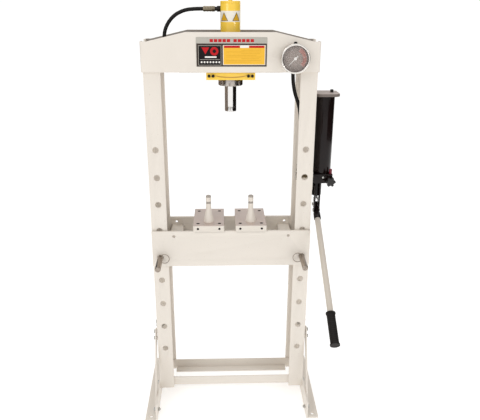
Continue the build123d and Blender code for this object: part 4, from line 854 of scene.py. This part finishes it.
# ---- Hydraulic hoses and fittings
# Black wire-braid hose, 13 mm outside, extruded rubber with a faint cloth-wrapped texture.
# Each end is crimped in a passivated sleeve and screwed to a port.
HOSE_D = 0.013
UPPER_ROUTE = [
    (-0.094, 0.0, 1.585),
    (-0.131, 0.0, 1.585),
    (-0.166, 0.0, 1.579),
    (-0.202, 0.0, 1.559),
    (-0.228, -0.001, 1.522),
    (-0.234, -0.003, 1.481),
    (-0.212, -0.009, 1.442),
    (-0.172, -0.023, 1.421),
    (-0.126, -0.040, 1.418),
    (-0.060, -0.051, 1.422),
    (0.030, -0.053, 1.428),
    (0.098, -0.048, 1.427),
    (0.160, -0.048, 1.427),
]
LOWER_ROUTE = [
    (0.220, -0.048, 1.378),
    (0.220, -0.048, 1.325),
    (0.254, -0.024, 1.243),
    (0.262, -0.006, 1.165),
    (0.262, 0.0, 1.090),
    (0.262, 0.0, 1.026),
]

# Hose rubber: matt black with a shallow cloth mark, greyed here and there by handling.
hose_rubber, tree, shader, place = new_material("hose_rubber")
wear = add_node(
    tree, "ShaderNodeTexNoise", {"Vector": place.outputs["Object"], "Scale": 24.0, "Detail": 4.0}
)
tone = add_node(
    tree,
    "ShaderNodeMix",
    {0: wear.outputs["Fac"], 6: paint("0A0807"), 7: paint("181412")},
    data_type="RGBA",
)
rough = add_node(
    tree, "ShaderNodeMapRange", {"Value": wear.outputs["Fac"], "To Min": 0.42, "To Max": 0.62}
)
cloth = add_node(
    tree, "ShaderNodeTexNoise", {"Vector": place.outputs["Object"], "Scale": 900.0, "Detail": 3.0}
)
skin = add_node(
    tree, "ShaderNodeBump", {"Height": cloth.outputs["Fac"], "Strength": 0.25, "Distance": 0.0003}
)
shader.inputs["Specular IOR Level"].default_value = 0.25
dress(tree, shader, tone.outputs[2], rough.outputs["Result"], skin.outputs["Normal"])


def add_hose(name, route):
    """A round hose on one smooth spline through its route."""
    curve = bpy.data.curves.new(name, "CURVE")
    curve.dimensions = "3D"
    curve.bevel_depth = HOSE_D / 2
    curve.bevel_resolution = 7
    curve.resolution_u = 16
    line = curve.splines.new("NURBS")
    line.points.add(len(route) - 1)
    for point, at in zip(line.points, route):
        point.co = (*at, 1.0)
    line.order_u = 3
    line.use_endpoint_u = True
    curve.materials.append(hose_rubber)
    hose = bpy.data.objects.new(name, curve)
    bpy.context.collection.objects.link(hose)
    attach(hose, "frame")
    return hose


# Passivated zinc: the fittings' plating is a darker yellowish grey than the bolts'.
fitting_zinc, tree, shader, place = new_material("fitting_zinc")
stain = add_node(
    tree, "ShaderNodeTexNoise", {"Vector": place.outputs["Object"], "Scale": 120.0, "Detail": 4.0}
)
tone = add_node(
    tree,
    "ShaderNodeMix",
    {0: stain.outputs["Fac"], 6: paint("6F6558"), 7: paint("A1967F")},
    data_type="RGBA",
)
rough = add_node(
    tree, "ShaderNodeMapRange", {"Value": stain.outputs["Fac"], "To Min": 0.22, "To Max": 0.4}
)
dress(tree, shader, tone.outputs[2], rough.outputs["Result"])
shader.inputs["Metallic"].default_value = 1.0
eased("port_adapter", "frame", black_oxide, 0.0004)
eased("gauge_tee", "frame", fitting_zinc, 0.0008)
eased("pump_elbow", "frame", fitting_zinc, 0.0008)
upper_sleeves = eased("upper_hose_ends", "frame", fitting_zinc, 0.0003)
lower_sleeves = eased("lower_hose_ends", "frame", fitting_zinc, 0.0003)
upper_hose = add_hose("upper_hose_rubber", UPPER_ROUTE)
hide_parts("upper_hose")
lower_hose = add_hose("lower_hose_rubber", LOWER_ROUTE)
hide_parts("lower_hose")

# ---- Pressure gauge
# Pressed steel case with a polished bezel, a printed dial and a white pointer under clear glass.
# It hangs on the tee behind the head plate by its stem, with a rubber plug on top.
GAUGE_AT = Vector((0.220, 0.0, 1.427))
DIAL_MARK_Y = -0.1014
RED_ZONE_DEEPER = 0.00005

# Polished bezel: bright chromed brass, pale in this light, with hairline marks.
bezel_chrome, tree, shader, place = new_material("bezel_chrome")
haze = add_node(
    tree, "ShaderNodeTexNoise", {"Vector": place.outputs["Object"], "Scale": 120.0, "Detail": 3.0}
)
tone = add_node(
    tree,
    "ShaderNodeMix",
    {0: haze.outputs["Fac"], 6: paint("E2DCD5"), 7: paint("F3EFEA")},
    data_type="RGBA",
)
rough = add_node(
    tree, "ShaderNodeMapRange", {"Value": haze.outputs["Fac"], "To Min": 0.12, "To Max": 0.24}
)
dress(tree, shader, tone.outputs[2], rough.outputs["Result"])
shader.inputs["Metallic"].default_value = 1.0
eased("gauge_case", "frame", bezel_chrome, 0.0005)
eased("gauge_bezel", "frame", bezel_chrome, 0.0004)

# Dial card: warm grey printed enamel with a fine mottle, darkened toward the rim by painted shade from
# the bezel.
dial_card, tree, shader, place = new_material("dial_card")
about = add_node(
    tree,
    "ShaderNodeVectorMath",
    {0: place.outputs["Object"], 1: (GAUGE_AT.x, -0.101, GAUGE_AT.z)},
    operation="SUBTRACT",
)
reach = add_node(tree, "ShaderNodeVectorMath", {0: about.outputs["Vector"]}, operation="LENGTH")
# Painted shade: the dial darkens toward its rim, where the bezel shades it.
bezel_shade_mask = add_node(
    tree,
    "ShaderNodeMapRange",
    {"Value": reach.outputs["Value"], "From Min": 0.02, "From Max": 0.046},
)
mottle = add_node(
    tree, "ShaderNodeTexNoise", {"Vector": place.outputs["Object"], "Scale": 60.0, "Detail": 5.0}
)
tone = add_node(
    tree,
    "ShaderNodeMix",
    {0: mottle.outputs["Fac"], 6: paint("7A6C64"), 7: paint("9F9087")},
    data_type="RGBA",
)
shade = add_node(
    tree,
    "ShaderNodeMix",
    {0: bezel_shade_mask.outputs["Result"], 6: tone.outputs[2], 7: paint("6E5E57")},
    data_type="RGBA",
)
dress(tree, shader, shade.outputs[2])
shader.inputs["Roughness"].default_value = 0.5
eased("gauge_dial", "frame", dial_card, 0.0001)

dial_white = new_ink("dial_white", "B9AFA8", "CFC6BF")
dial_red = new_ink("dial_red", "A86C60", "B97C70")


def dial_place(angle, radius):
    """A frame on the dial at a bearing, in degrees clockwise from the top, facing the front."""
    turn = Matrix.Rotation(math.radians(angle), 4, "Y")
    return Matrix.Translation((GAUGE_AT.x, DIAL_MARK_Y, GAUGE_AT.z)) @ turn @ Matrix.Translation(
        (0, 0, radius)
    )


form = bmesh.new()
for tick in range(51):
    long_tick = tick % 10 == 0
    length = 0.0055 if long_tick else (0.004 if tick % 5 == 0 else 0.0026)
    width = 0.0009 if long_tick else 0.0005
    spot = dial_place(-135 + 5.4 * tick, 0.0405 - length / 2)
    stretch = Matrix.Diagonal((width, 1.0, length, 1.0)) @ Matrix.Rotation(math.pi / 2, 4, "X")
    bmesh.ops.create_grid(form, x_segments=1, y_segments=1, size=0.5, matrix=spot @ stretch)
finish_piece(form, "dial_ticks", "frame", dial_white, 40.0)
form = bmesh.new()
for sector in range(24):
    spot = Matrix.Translation((0, RED_ZONE_DEEPER, 0)) @ dial_place(28 + 4.5 * sector, 0.0325)
    stretch = Matrix.Diagonal((0.0034, 1.0, 0.0130, 1.0)) @ Matrix.Rotation(math.pi / 2, 4, "X")
    bmesh.ops.create_grid(form, x_segments=1, y_segments=1, size=0.5, matrix=spot @ stretch)
finish_piece(form, "dial_red_zone", "frame", dial_red, 40.0)
for number in range(6):
    words = bpy.data.curves.new(f"dial_number_{number}", "FONT")
    words.body = str(number * 10)
    words.size = 0.0062
    words.align_x = "CENTER"
    words.align_y = "CENTER"
    lettering = bpy.data.objects.new("dial_lettering", words)
    bpy.context.collection.objects.link(lettering)
    flat = bpy.data.meshes.new_from_object(
        lettering.evaluated_get(bpy.context.evaluated_depsgraph_get())
    )
    bpy.data.objects.remove(lettering)
    form = bmesh.new()
    form.from_mesh(flat)
    bearing_at = dial_place(-135 + 54 * number, 0.0305).translation
    bmesh.ops.transform(
        form,
        matrix=Matrix.Translation(bearing_at) @ Matrix.Rotation(math.pi / 2, 4, "X"),
        verts=form.verts,
    )
    finish_piece(form, f"dial_number_{number}", "frame", dial_white, 40.0)

# Pointer paint: matt white on stamped brass, a little chalky.
pointer_paint = new_ink("pointer_paint", "E8E2DC", "F6F2EE")
eased("gauge_pointer", "needle", pointer_paint, 0.0002)

# Window glass: clear and thin, seen mostly by a soft sheen.
gauge_glass, tree, shader, place = new_material("gauge_glass")
film = add_node(
    tree, "ShaderNodeTexNoise", {"Vector": place.outputs["Object"], "Scale": 30.0, "Detail": 2.0}
)
rough = add_node(
    tree, "ShaderNodeMapRange", {"Value": film.outputs["Fac"], "To Min": 0.08, "To Max": 0.16}
)
tree.links.new(rough.outputs["Result"], shader.inputs["Roughness"])
shader.inputs["Base Color"].default_value = paint("EDEBE8")
shader.inputs["Alpha"].default_value = 0.06
shader.inputs["Specular IOR Level"].default_value = 0.3
eased("gauge_lens", "frame", gauge_glass, 0.0002)

# Moulded rubber: soft black with a dull bloom.
moulded_rubber, tree, shader, place = new_material("moulded_rubber")
bloom = add_node(
    tree, "ShaderNodeTexNoise", {"Vector": place.outputs["Object"], "Scale": 90.0, "Detail": 4.0}
)
tone = add_node(
    tree,
    "ShaderNodeMix",
    {0: bloom.outputs["Fac"], 6: paint("0D0A09"), 7: paint("231D1A")},
    data_type="RGBA",
)
rough = add_node(
    tree, "ShaderNodeMapRange", {"Value": bloom.outputs["Fac"], "To Min": 0.5, "To Max": 0.7}
)
pebble = add_node(
    tree, "ShaderNodeTexNoise", {"Vector": place.outputs["Object"], "Scale": 1100.0, "Detail": 2.0}
)
skin = add_node(
    tree, "ShaderNodeBump", {"Height": pebble.outputs["Fac"], "Strength": 0.2, "Distance": 0.0002}
)
shader.inputs["Specular IOR Level"].default_value = 0.25
dress(tree, shader, tone.outputs[2], rough.outputs["Result"], skin.outputs["Normal"])
eased("gauge_plug", "frame", moulded_rubber, 0.0004)

# ---- Bed
# Two flame-cut steel plates held apart by box sections and tie bars, in the frame's cream enamel.
# It rests on two turned steel pins that pass through the uprights.
for node in ("bed_front_plate", "bed_rear_plate", "bed_spacers"):
    eased(node, "frame", cream_enamel, 0.0009)

# Blued pin steel: bare bar dulled by oil, rubbed brighter along its length.
pin_steel, tree, shader, place = new_material("pin_steel")
along = add_node(
    tree, "ShaderNodeMapping", {"Vector": place.outputs["Object"], "Scale": (160.0, 8.0, 160.0)}
)
scuff = add_node(
    tree, "ShaderNodeTexNoise", {"Vector": along.outputs["Vector"], "Scale": 1.0, "Detail": 4.0}
)
tone = add_node(
    tree,
    "ShaderNodeMix",
    {0: scuff.outputs["Fac"], 6: paint("73685F"), 7: paint("C6BAAE")},
    data_type="RGBA",
)
rough = add_node(
    tree, "ShaderNodeMapRange", {"Value": scuff.outputs["Fac"], "To Min": 0.2, "To Max": 0.4}
)
dress(tree, shader, tone.outputs[2], rough.outputs["Result"])
shader.inputs["Metallic"].default_value = 1.0
eased("left_bed_pin", "left_pin", pin_steel, 0.0004)
eased("right_bed_pin", "right_pin", pin_steel, 0.0004)
for hand in ("left", "right"):
    ring_node = frame["nodes"][f"{hand}_pin_ring"]
    ring_node.data.materials.clear()
    ring_node.data.materials.append(pin_steel)

# ---- Press blocks and their posts
# Thick steel plates, sides painted cream and tops ground bare, with tapped holes.
# Each has a turned post to lift it by.
BLOCK_TOP = 0.808
BLOCKS_MIDDLE = (-0.005, 0.006)
BLOCK_OFFSET_X = 0.081
BLOCK_CORE_HALF = (0.0575, 0.0925)
PAINTED_EDGE = (0.0002, 0.0008)

# Ground block steel: pinkish-grey ground top with fine lines 0.6 mm apart, cream paint on the
# sides, and dark oily steel inside the drilled holes.
block_steel, tree, shader, place = new_material("block_steel")
split = add_node(tree, "ShaderNodeSeparateXYZ", {"Vector": place.outputs["Object"]})
bare = add_node(
    tree,
    "ShaderNodeMapRange",
    {
        "Value": split.outputs["Z"],
        "From Min": BLOCK_TOP - PAINTED_EDGE[1],
        "From Max": BLOCK_TOP - PAINTED_EDGE[0],
    },
)
along = add_node(
    tree, "ShaderNodeMapping", {"Vector": place.outputs["Object"], "Scale": (12.0, 1600.0, 12.0)}
)
ground = add_node(
    tree, "ShaderNodeTexNoise", {"Vector": along.outputs["Vector"], "Scale": 1.0, "Detail": 3.0}
)
stain = add_node(
    tree, "ShaderNodeTexNoise", {"Vector": place.outputs["Object"], "Scale": 22.0, "Detail": 5.0}
)
steel = add_node(
    tree,
    "ShaderNodeMix",
    {0: ground.outputs["Fac"], 6: paint("C7B8AF"), 7: paint("E6DAD2")},
    data_type="RGBA",
)
aged = add_node(
    tree,
    "ShaderNodeMix",
    {0: stain.outputs["Fac"], 6: steel.outputs[2], 7: paint("D2C2BA")},
    data_type="RGBA",
)
mirrored = add_node(
    tree, "ShaderNodeMath", {0: split.outputs["X"], 1: BLOCKS_MIDDLE[0]}, operation="SUBTRACT"
)
beside = add_node(tree, "ShaderNodeMath", {0: mirrored.outputs["Value"]}, operation="ABSOLUTE")
inside_x = add_node(
    tree,
    "ShaderNodeMath",
    {0: beside.outputs["Value"], 1: BLOCK_OFFSET_X, 2: BLOCK_CORE_HALF[0]},
    operation="COMPARE",
)
inside_y = add_node(
    tree,
    "ShaderNodeMath",
    {0: split.outputs["Y"], 1: BLOCKS_MIDDLE[1], 2: BLOCK_CORE_HALF[1]},
    operation="COMPARE",
)
inside = add_node(
    tree,
    "ShaderNodeMath",
    {0: inside_x.outputs["Value"], 1: inside_y.outputs["Value"]},
    operation="MULTIPLY",
)
sides = add_node(
    tree,
    "ShaderNodeMix",
    {0: inside.outputs["Value"], 6: paint("DFD7CC"), 7: paint("1E1713")},
    data_type="RGBA",
)
cover = add_node(
    tree,
    "ShaderNodeMix",
    {0: bare.outputs["Result"], 6: sides.outputs[2], 7: aged.outputs[2]},
    data_type="RGBA",
)
metal = add_node(tree, "ShaderNodeMath", {0: bare.outputs["Result"], 1: 0.55}, operation="MULTIPLY")
rough = add_node(
    tree, "ShaderNodeMapRange", {"Value": ground.outputs["Fac"], "To Min": 0.4, "To Max": 0.6}
)
dress(tree, shader, cover.outputs[2])
tree.links.new(metal.outputs["Value"], shader.inputs["Metallic"])
tree.links.new(rough.outputs["Result"], shader.inputs["Roughness"])
eased("left_press_block", "left_block", block_steel, 0.0008)
eased("right_press_block", "right_block", block_steel, 0.0008)

# Post enamel: the frame's cream, with two darker grey bands round it.
LOW_BAND = (0.887, 0.0042)
TOP_BAND = (0.911, 0.0034)
post_enamel, tree, shader, place = new_material("post_enamel")
split = add_node(tree, "ShaderNodeSeparateXYZ", {"Vector": place.outputs["Object"]})
low_band, top_band = (
    add_node(
        tree, "ShaderNodeMath", {0: split.outputs["Z"], 1: middle, 2: half}, operation="COMPARE"
    )
    for middle, half in (LOW_BAND, TOP_BAND)
)
bands = add_node(
    tree,
    "ShaderNodeMath",
    {0: low_band.outputs["Value"], 1: top_band.outputs["Value"]},
    operation="MAXIMUM",
)
cloud = add_node(
    tree, "ShaderNodeTexNoise", {"Vector": place.outputs["Object"], "Scale": 30.0, "Detail": 4.0}
)
coat = add_node(
    tree,
    "ShaderNodeMix",
    {0: cloud.outputs["Fac"], 6: paint("DDD4C9"), 7: paint("E6DDD2")},
    data_type="RGBA",
)
cover = add_node(
    tree,
    "ShaderNodeMix",
    {0: bands.outputs["Value"], 6: coat.outputs[2], 7: paint("A59C93")},
    data_type="RGBA",
)
rough = add_node(
    tree, "ShaderNodeMapRange", {"Value": cloud.outputs["Fac"], "To Min": 0.3, "To Max": 0.45}
)
dress(tree, shader, cover.outputs[2], rough.outputs["Result"])
eased("left_block_post", "left_block", post_enamel, 0.0006, steps=3)
eased("right_block_post", "right_block", post_enamel, 0.0006, steps=3)

# ---- Pump block, barrel and lever ears
# Cast and machined steel, bolted through the bracket to the upright, in glossy black enamel.
# The barrel hangs below the block, and two ears carry the lever's pivot.
eased("pump_bracket", "frame", cream_enamel, 0.0008)

# Black enamel: deep gloss stove paint over slightly uneven castings.
black_enamel, tree, shader, place = new_material("black_enamel")
cloud = add_node(
    tree, "ShaderNodeTexNoise", {"Vector": place.outputs["Object"], "Scale": 26.0, "Detail": 4.0}
)
tone = add_node(
    tree,
    "ShaderNodeMix",
    {0: cloud.outputs["Fac"], 6: paint("0C0606"), 7: paint("1C1110")},
    data_type="RGBA",
)
rough = add_node(
    tree, "ShaderNodeMapRange", {"Value": cloud.outputs["Fac"], "To Min": 0.12, "To Max": 0.24}
)
peel = add_node(
    tree, "ShaderNodeTexNoise", {"Vector": place.outputs["Object"], "Scale": 240.0, "Detail": 2.0}
)
skin = add_node(
    tree, "ShaderNodeBump", {"Height": peel.outputs["Fac"], "Strength": 0.1, "Distance": 0.0004}
)
dress(tree, shader, tone.outputs[2], rough.outputs["Result"], skin.outputs["Normal"])
shader.inputs["Specular IOR Level"].default_value = 0.2
shader.inputs["Coat Weight"].default_value = 0.12
shader.inputs["Coat Roughness"].default_value = 0.06
for node in ("pump_block", "pump_barrel", "fulcrum_ears"):
    eased(node, "frame", black_enamel, 0.0008)
eased("pump_bolts", "frame", zinc_plate, 0.0004)
eased("fulcrum_pin", "frame", zinc_plate, 0.0004)
eased("pump_plunger", "plunger", hard_chrome, 0.0005)
eased("plunger_pin", "plunger", zinc_plate, 0.0004)

# ---- Reservoir and its cap
# Drawn steel tube in gloss black, closed by a square cast cap with a vent plug.
eased("reservoir_tube", "frame", black_enamel, 0.0008)

# Grey cap enamel: cast aluminium under warm grey paint with a faint sand-cast grain, its top painted
# paler as painted light where the light falls on it.
LIT_TOP_LOW_Z = 1.2972
cap_enamel, tree, shader, place = new_material("cap_enamel")
cloud = add_node(
    tree, "ShaderNodeTexNoise", {"Vector": place.outputs["Object"], "Scale": 30.0, "Detail": 5.0}
)
tone = add_node(
    tree,
    "ShaderNodeMix",
    {0: cloud.outputs["Fac"], 6: paint("655A54"), 7: paint("776C66")},
    data_type="RGBA",
)
split = add_node(tree, "ShaderNodeSeparateXYZ", {"Vector": place.outputs["Object"]})
# Painted light: above this height the cap's top is coloured paler.
painted_lit_top = add_node(
    tree, "ShaderNodeMath", {0: split.outputs["Z"], 1: LIT_TOP_LOW_Z}, operation="GREATER_THAN"
)
dust_and_lit_top = add_node(
    tree,
    "ShaderNodeMix",
    {0: painted_lit_top.outputs["Value"], 6: tone.outputs[2], 7: paint("B3A69F")},
    data_type="RGBA",
)
rough = add_node(
    tree, "ShaderNodeMapRange", {"Value": cloud.outputs["Fac"], "To Min": 0.35, "To Max": 0.5}
)
sand = add_node(
    tree, "ShaderNodeTexNoise", {"Vector": place.outputs["Object"], "Scale": 700.0, "Detail": 3.0}
)
skin = add_node(
    tree, "ShaderNodeBump", {"Height": sand.outputs["Fac"], "Strength": 0.25, "Distance": 0.0003}
)
dress(tree, shader, dust_and_lit_top.outputs[2], rough.outputs["Result"], skin.outputs["Normal"])
eased("reservoir_cap", "frame", cap_enamel, 0.0012)

# Moulded plastic: glossy phenolic black with flow marks.
black_plastic, tree, shader, place = new_material("black_plastic")
flow = add_node(
    tree, "ShaderNodeTexNoise", {"Vector": place.outputs["Object"], "Scale": 80.0, "Detail": 3.0}
)
tone = add_node(
    tree,
    "ShaderNodeMix",
    {0: flow.outputs["Fac"], 6: paint("0D0B0A"), 7: paint("1D1917")},
    data_type="RGBA",
)
rough = add_node(
    tree, "ShaderNodeMapRange", {"Value": flow.outputs["Fac"], "To Min": 0.22, "To Max": 0.36}
)
dress(tree, shader, tone.outputs[2], rough.outputs["Result"])
eased("vent_plug", "vent", black_plastic, 0.0004)
eased("release_knob", "release", black_plastic, 0.0010)

# Red plastic: a soft moulded cap.
red_plastic, tree, shader, place = new_material("red_plastic")
flow = add_node(
    tree, "ShaderNodeTexNoise", {"Vector": place.outputs["Object"], "Scale": 90.0, "Detail": 3.0}
)
tone = add_node(
    tree,
    "ShaderNodeMix",
    {0: flow.outputs["Fac"], 6: paint("5E1622"), 7: paint("7E2433")},
    data_type="RGBA",
)
rough = add_node(
    tree, "ShaderNodeMapRange", {"Value": flow.outputs["Fac"], "To Min": 0.28, "To Max": 0.42}
)
dress(tree, shader, tone.outputs[2], rough.outputs["Result"])
eased("relief_cap", "frame", red_plastic, 0.0004)

# ---- Pump handle
# A forged lever and socket in black enamel, a tube painted like the frame, and a rubber grip.
# The grip is pushed over the end of the tube.
eased("handle_socket", "handle", black_enamel, 0.0006)

# Pole enamel: the same sprayed paint a shade greyer, polished by hands along the tube.
pole_enamel, tree, shader, place = new_material("pole_enamel")
cloud = add_node(
    tree, "ShaderNodeTexNoise", {"Vector": place.outputs["Object"], "Scale": 12.0, "Detail": 5.0}
)
tone = add_node(
    tree,
    "ShaderNodeMix",
    {0: cloud.outputs["Fac"], 6: paint("C4BAAD"), 7: paint("D2C9BD")},
    data_type="RGBA",
)
rough = add_node(
    tree, "ShaderNodeMapRange", {"Value": cloud.outputs["Fac"], "To Min": 0.28, "To Max": 0.42}
)
dress(tree, shader, tone.outputs[2], rough.outputs["Result"])
eased("handle_pole", "handle", pole_enamel, 0.0004)

# The grip is a moulded sleeve with ring ribs between two flanges; lengths run along the handle.
GRIP_START = 0.478
GRIP_END = 0.598
GRIP_R = 0.0150
GRIP_VALLEY_R = 0.0141
GRIP_FLANGE_R = 0.0170
GRIP_BORE_R = 0.01085
GRIP_FLANGE_T = 0.005
GRIP_RIBS = 16
GRIP_FILLET = 0.001
HANDLE_PIVOT = (0.333, 0.0, 0.862)
HANDLE_REST_TURN = math.radians(121.0)
HANDLE_PLACE = Matrix.Translation(HANDLE_PIVOT) @ Matrix.Rotation(HANDLE_REST_TURN, 4, "X")
rib_room = (GRIP_END - GRIP_START - 2 * GRIP_FLANGE_T - 4 * GRIP_FILLET) / GRIP_RIBS
outline = [
    (GRIP_BORE_R, GRIP_START),
    (GRIP_FLANGE_R, GRIP_START),
    (GRIP_FLANGE_R, GRIP_START + GRIP_FLANGE_T),
    (GRIP_R, GRIP_START + GRIP_FLANGE_T + GRIP_FILLET),
]
for rib in range(GRIP_RIBS):
    low = GRIP_START + GRIP_FLANGE_T + 2 * GRIP_FILLET + rib_room * rib
    outline += [(GRIP_R, low + 0.3 * rib_room), (GRIP_VALLEY_R, low + 0.45 * rib_room)]
    outline += [(GRIP_VALLEY_R, low + 0.75 * rib_room), (GRIP_R, low + 0.9 * rib_room)]
outline.append((GRIP_R, GRIP_END - GRIP_FLANGE_T - GRIP_FILLET))
outline.append((GRIP_FLANGE_R, GRIP_END - GRIP_FLANGE_T))
outline += [(GRIP_FLANGE_R, GRIP_END), (0.004, GRIP_END)]
form = bmesh.new()
spots = [form.verts.new((radius, 0.0, at)) for radius, at in outline]
for first, second in zip(spots, spots[1:]):
    form.edges.new((first, second))
bmesh.ops.spin(
    form,
    geom=form.verts[:] + form.edges[:],
    cent=(0, 0, 0),
    axis=(0, 0, 1),
    angle=math.tau,
    steps=40,
    use_merge=True,
)
bmesh.ops.remove_doubles(form, verts=form.verts, dist=0.00001)
open_rims = [e for e in form.edges if e.is_boundary and e.verts[0].co.z > GRIP_END - 0.001]
bmesh.ops.holes_fill(form, edges=open_rims)
bmesh.ops.recalc_face_normals(form, faces=form.faces)
bmesh.ops.transform(form, matrix=HANDLE_PLACE, verts=form.verts)
grip = finish_piece(form, "ribbed_grip", "handle", moulded_rubber, 40.0)
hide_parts("handle_grip")
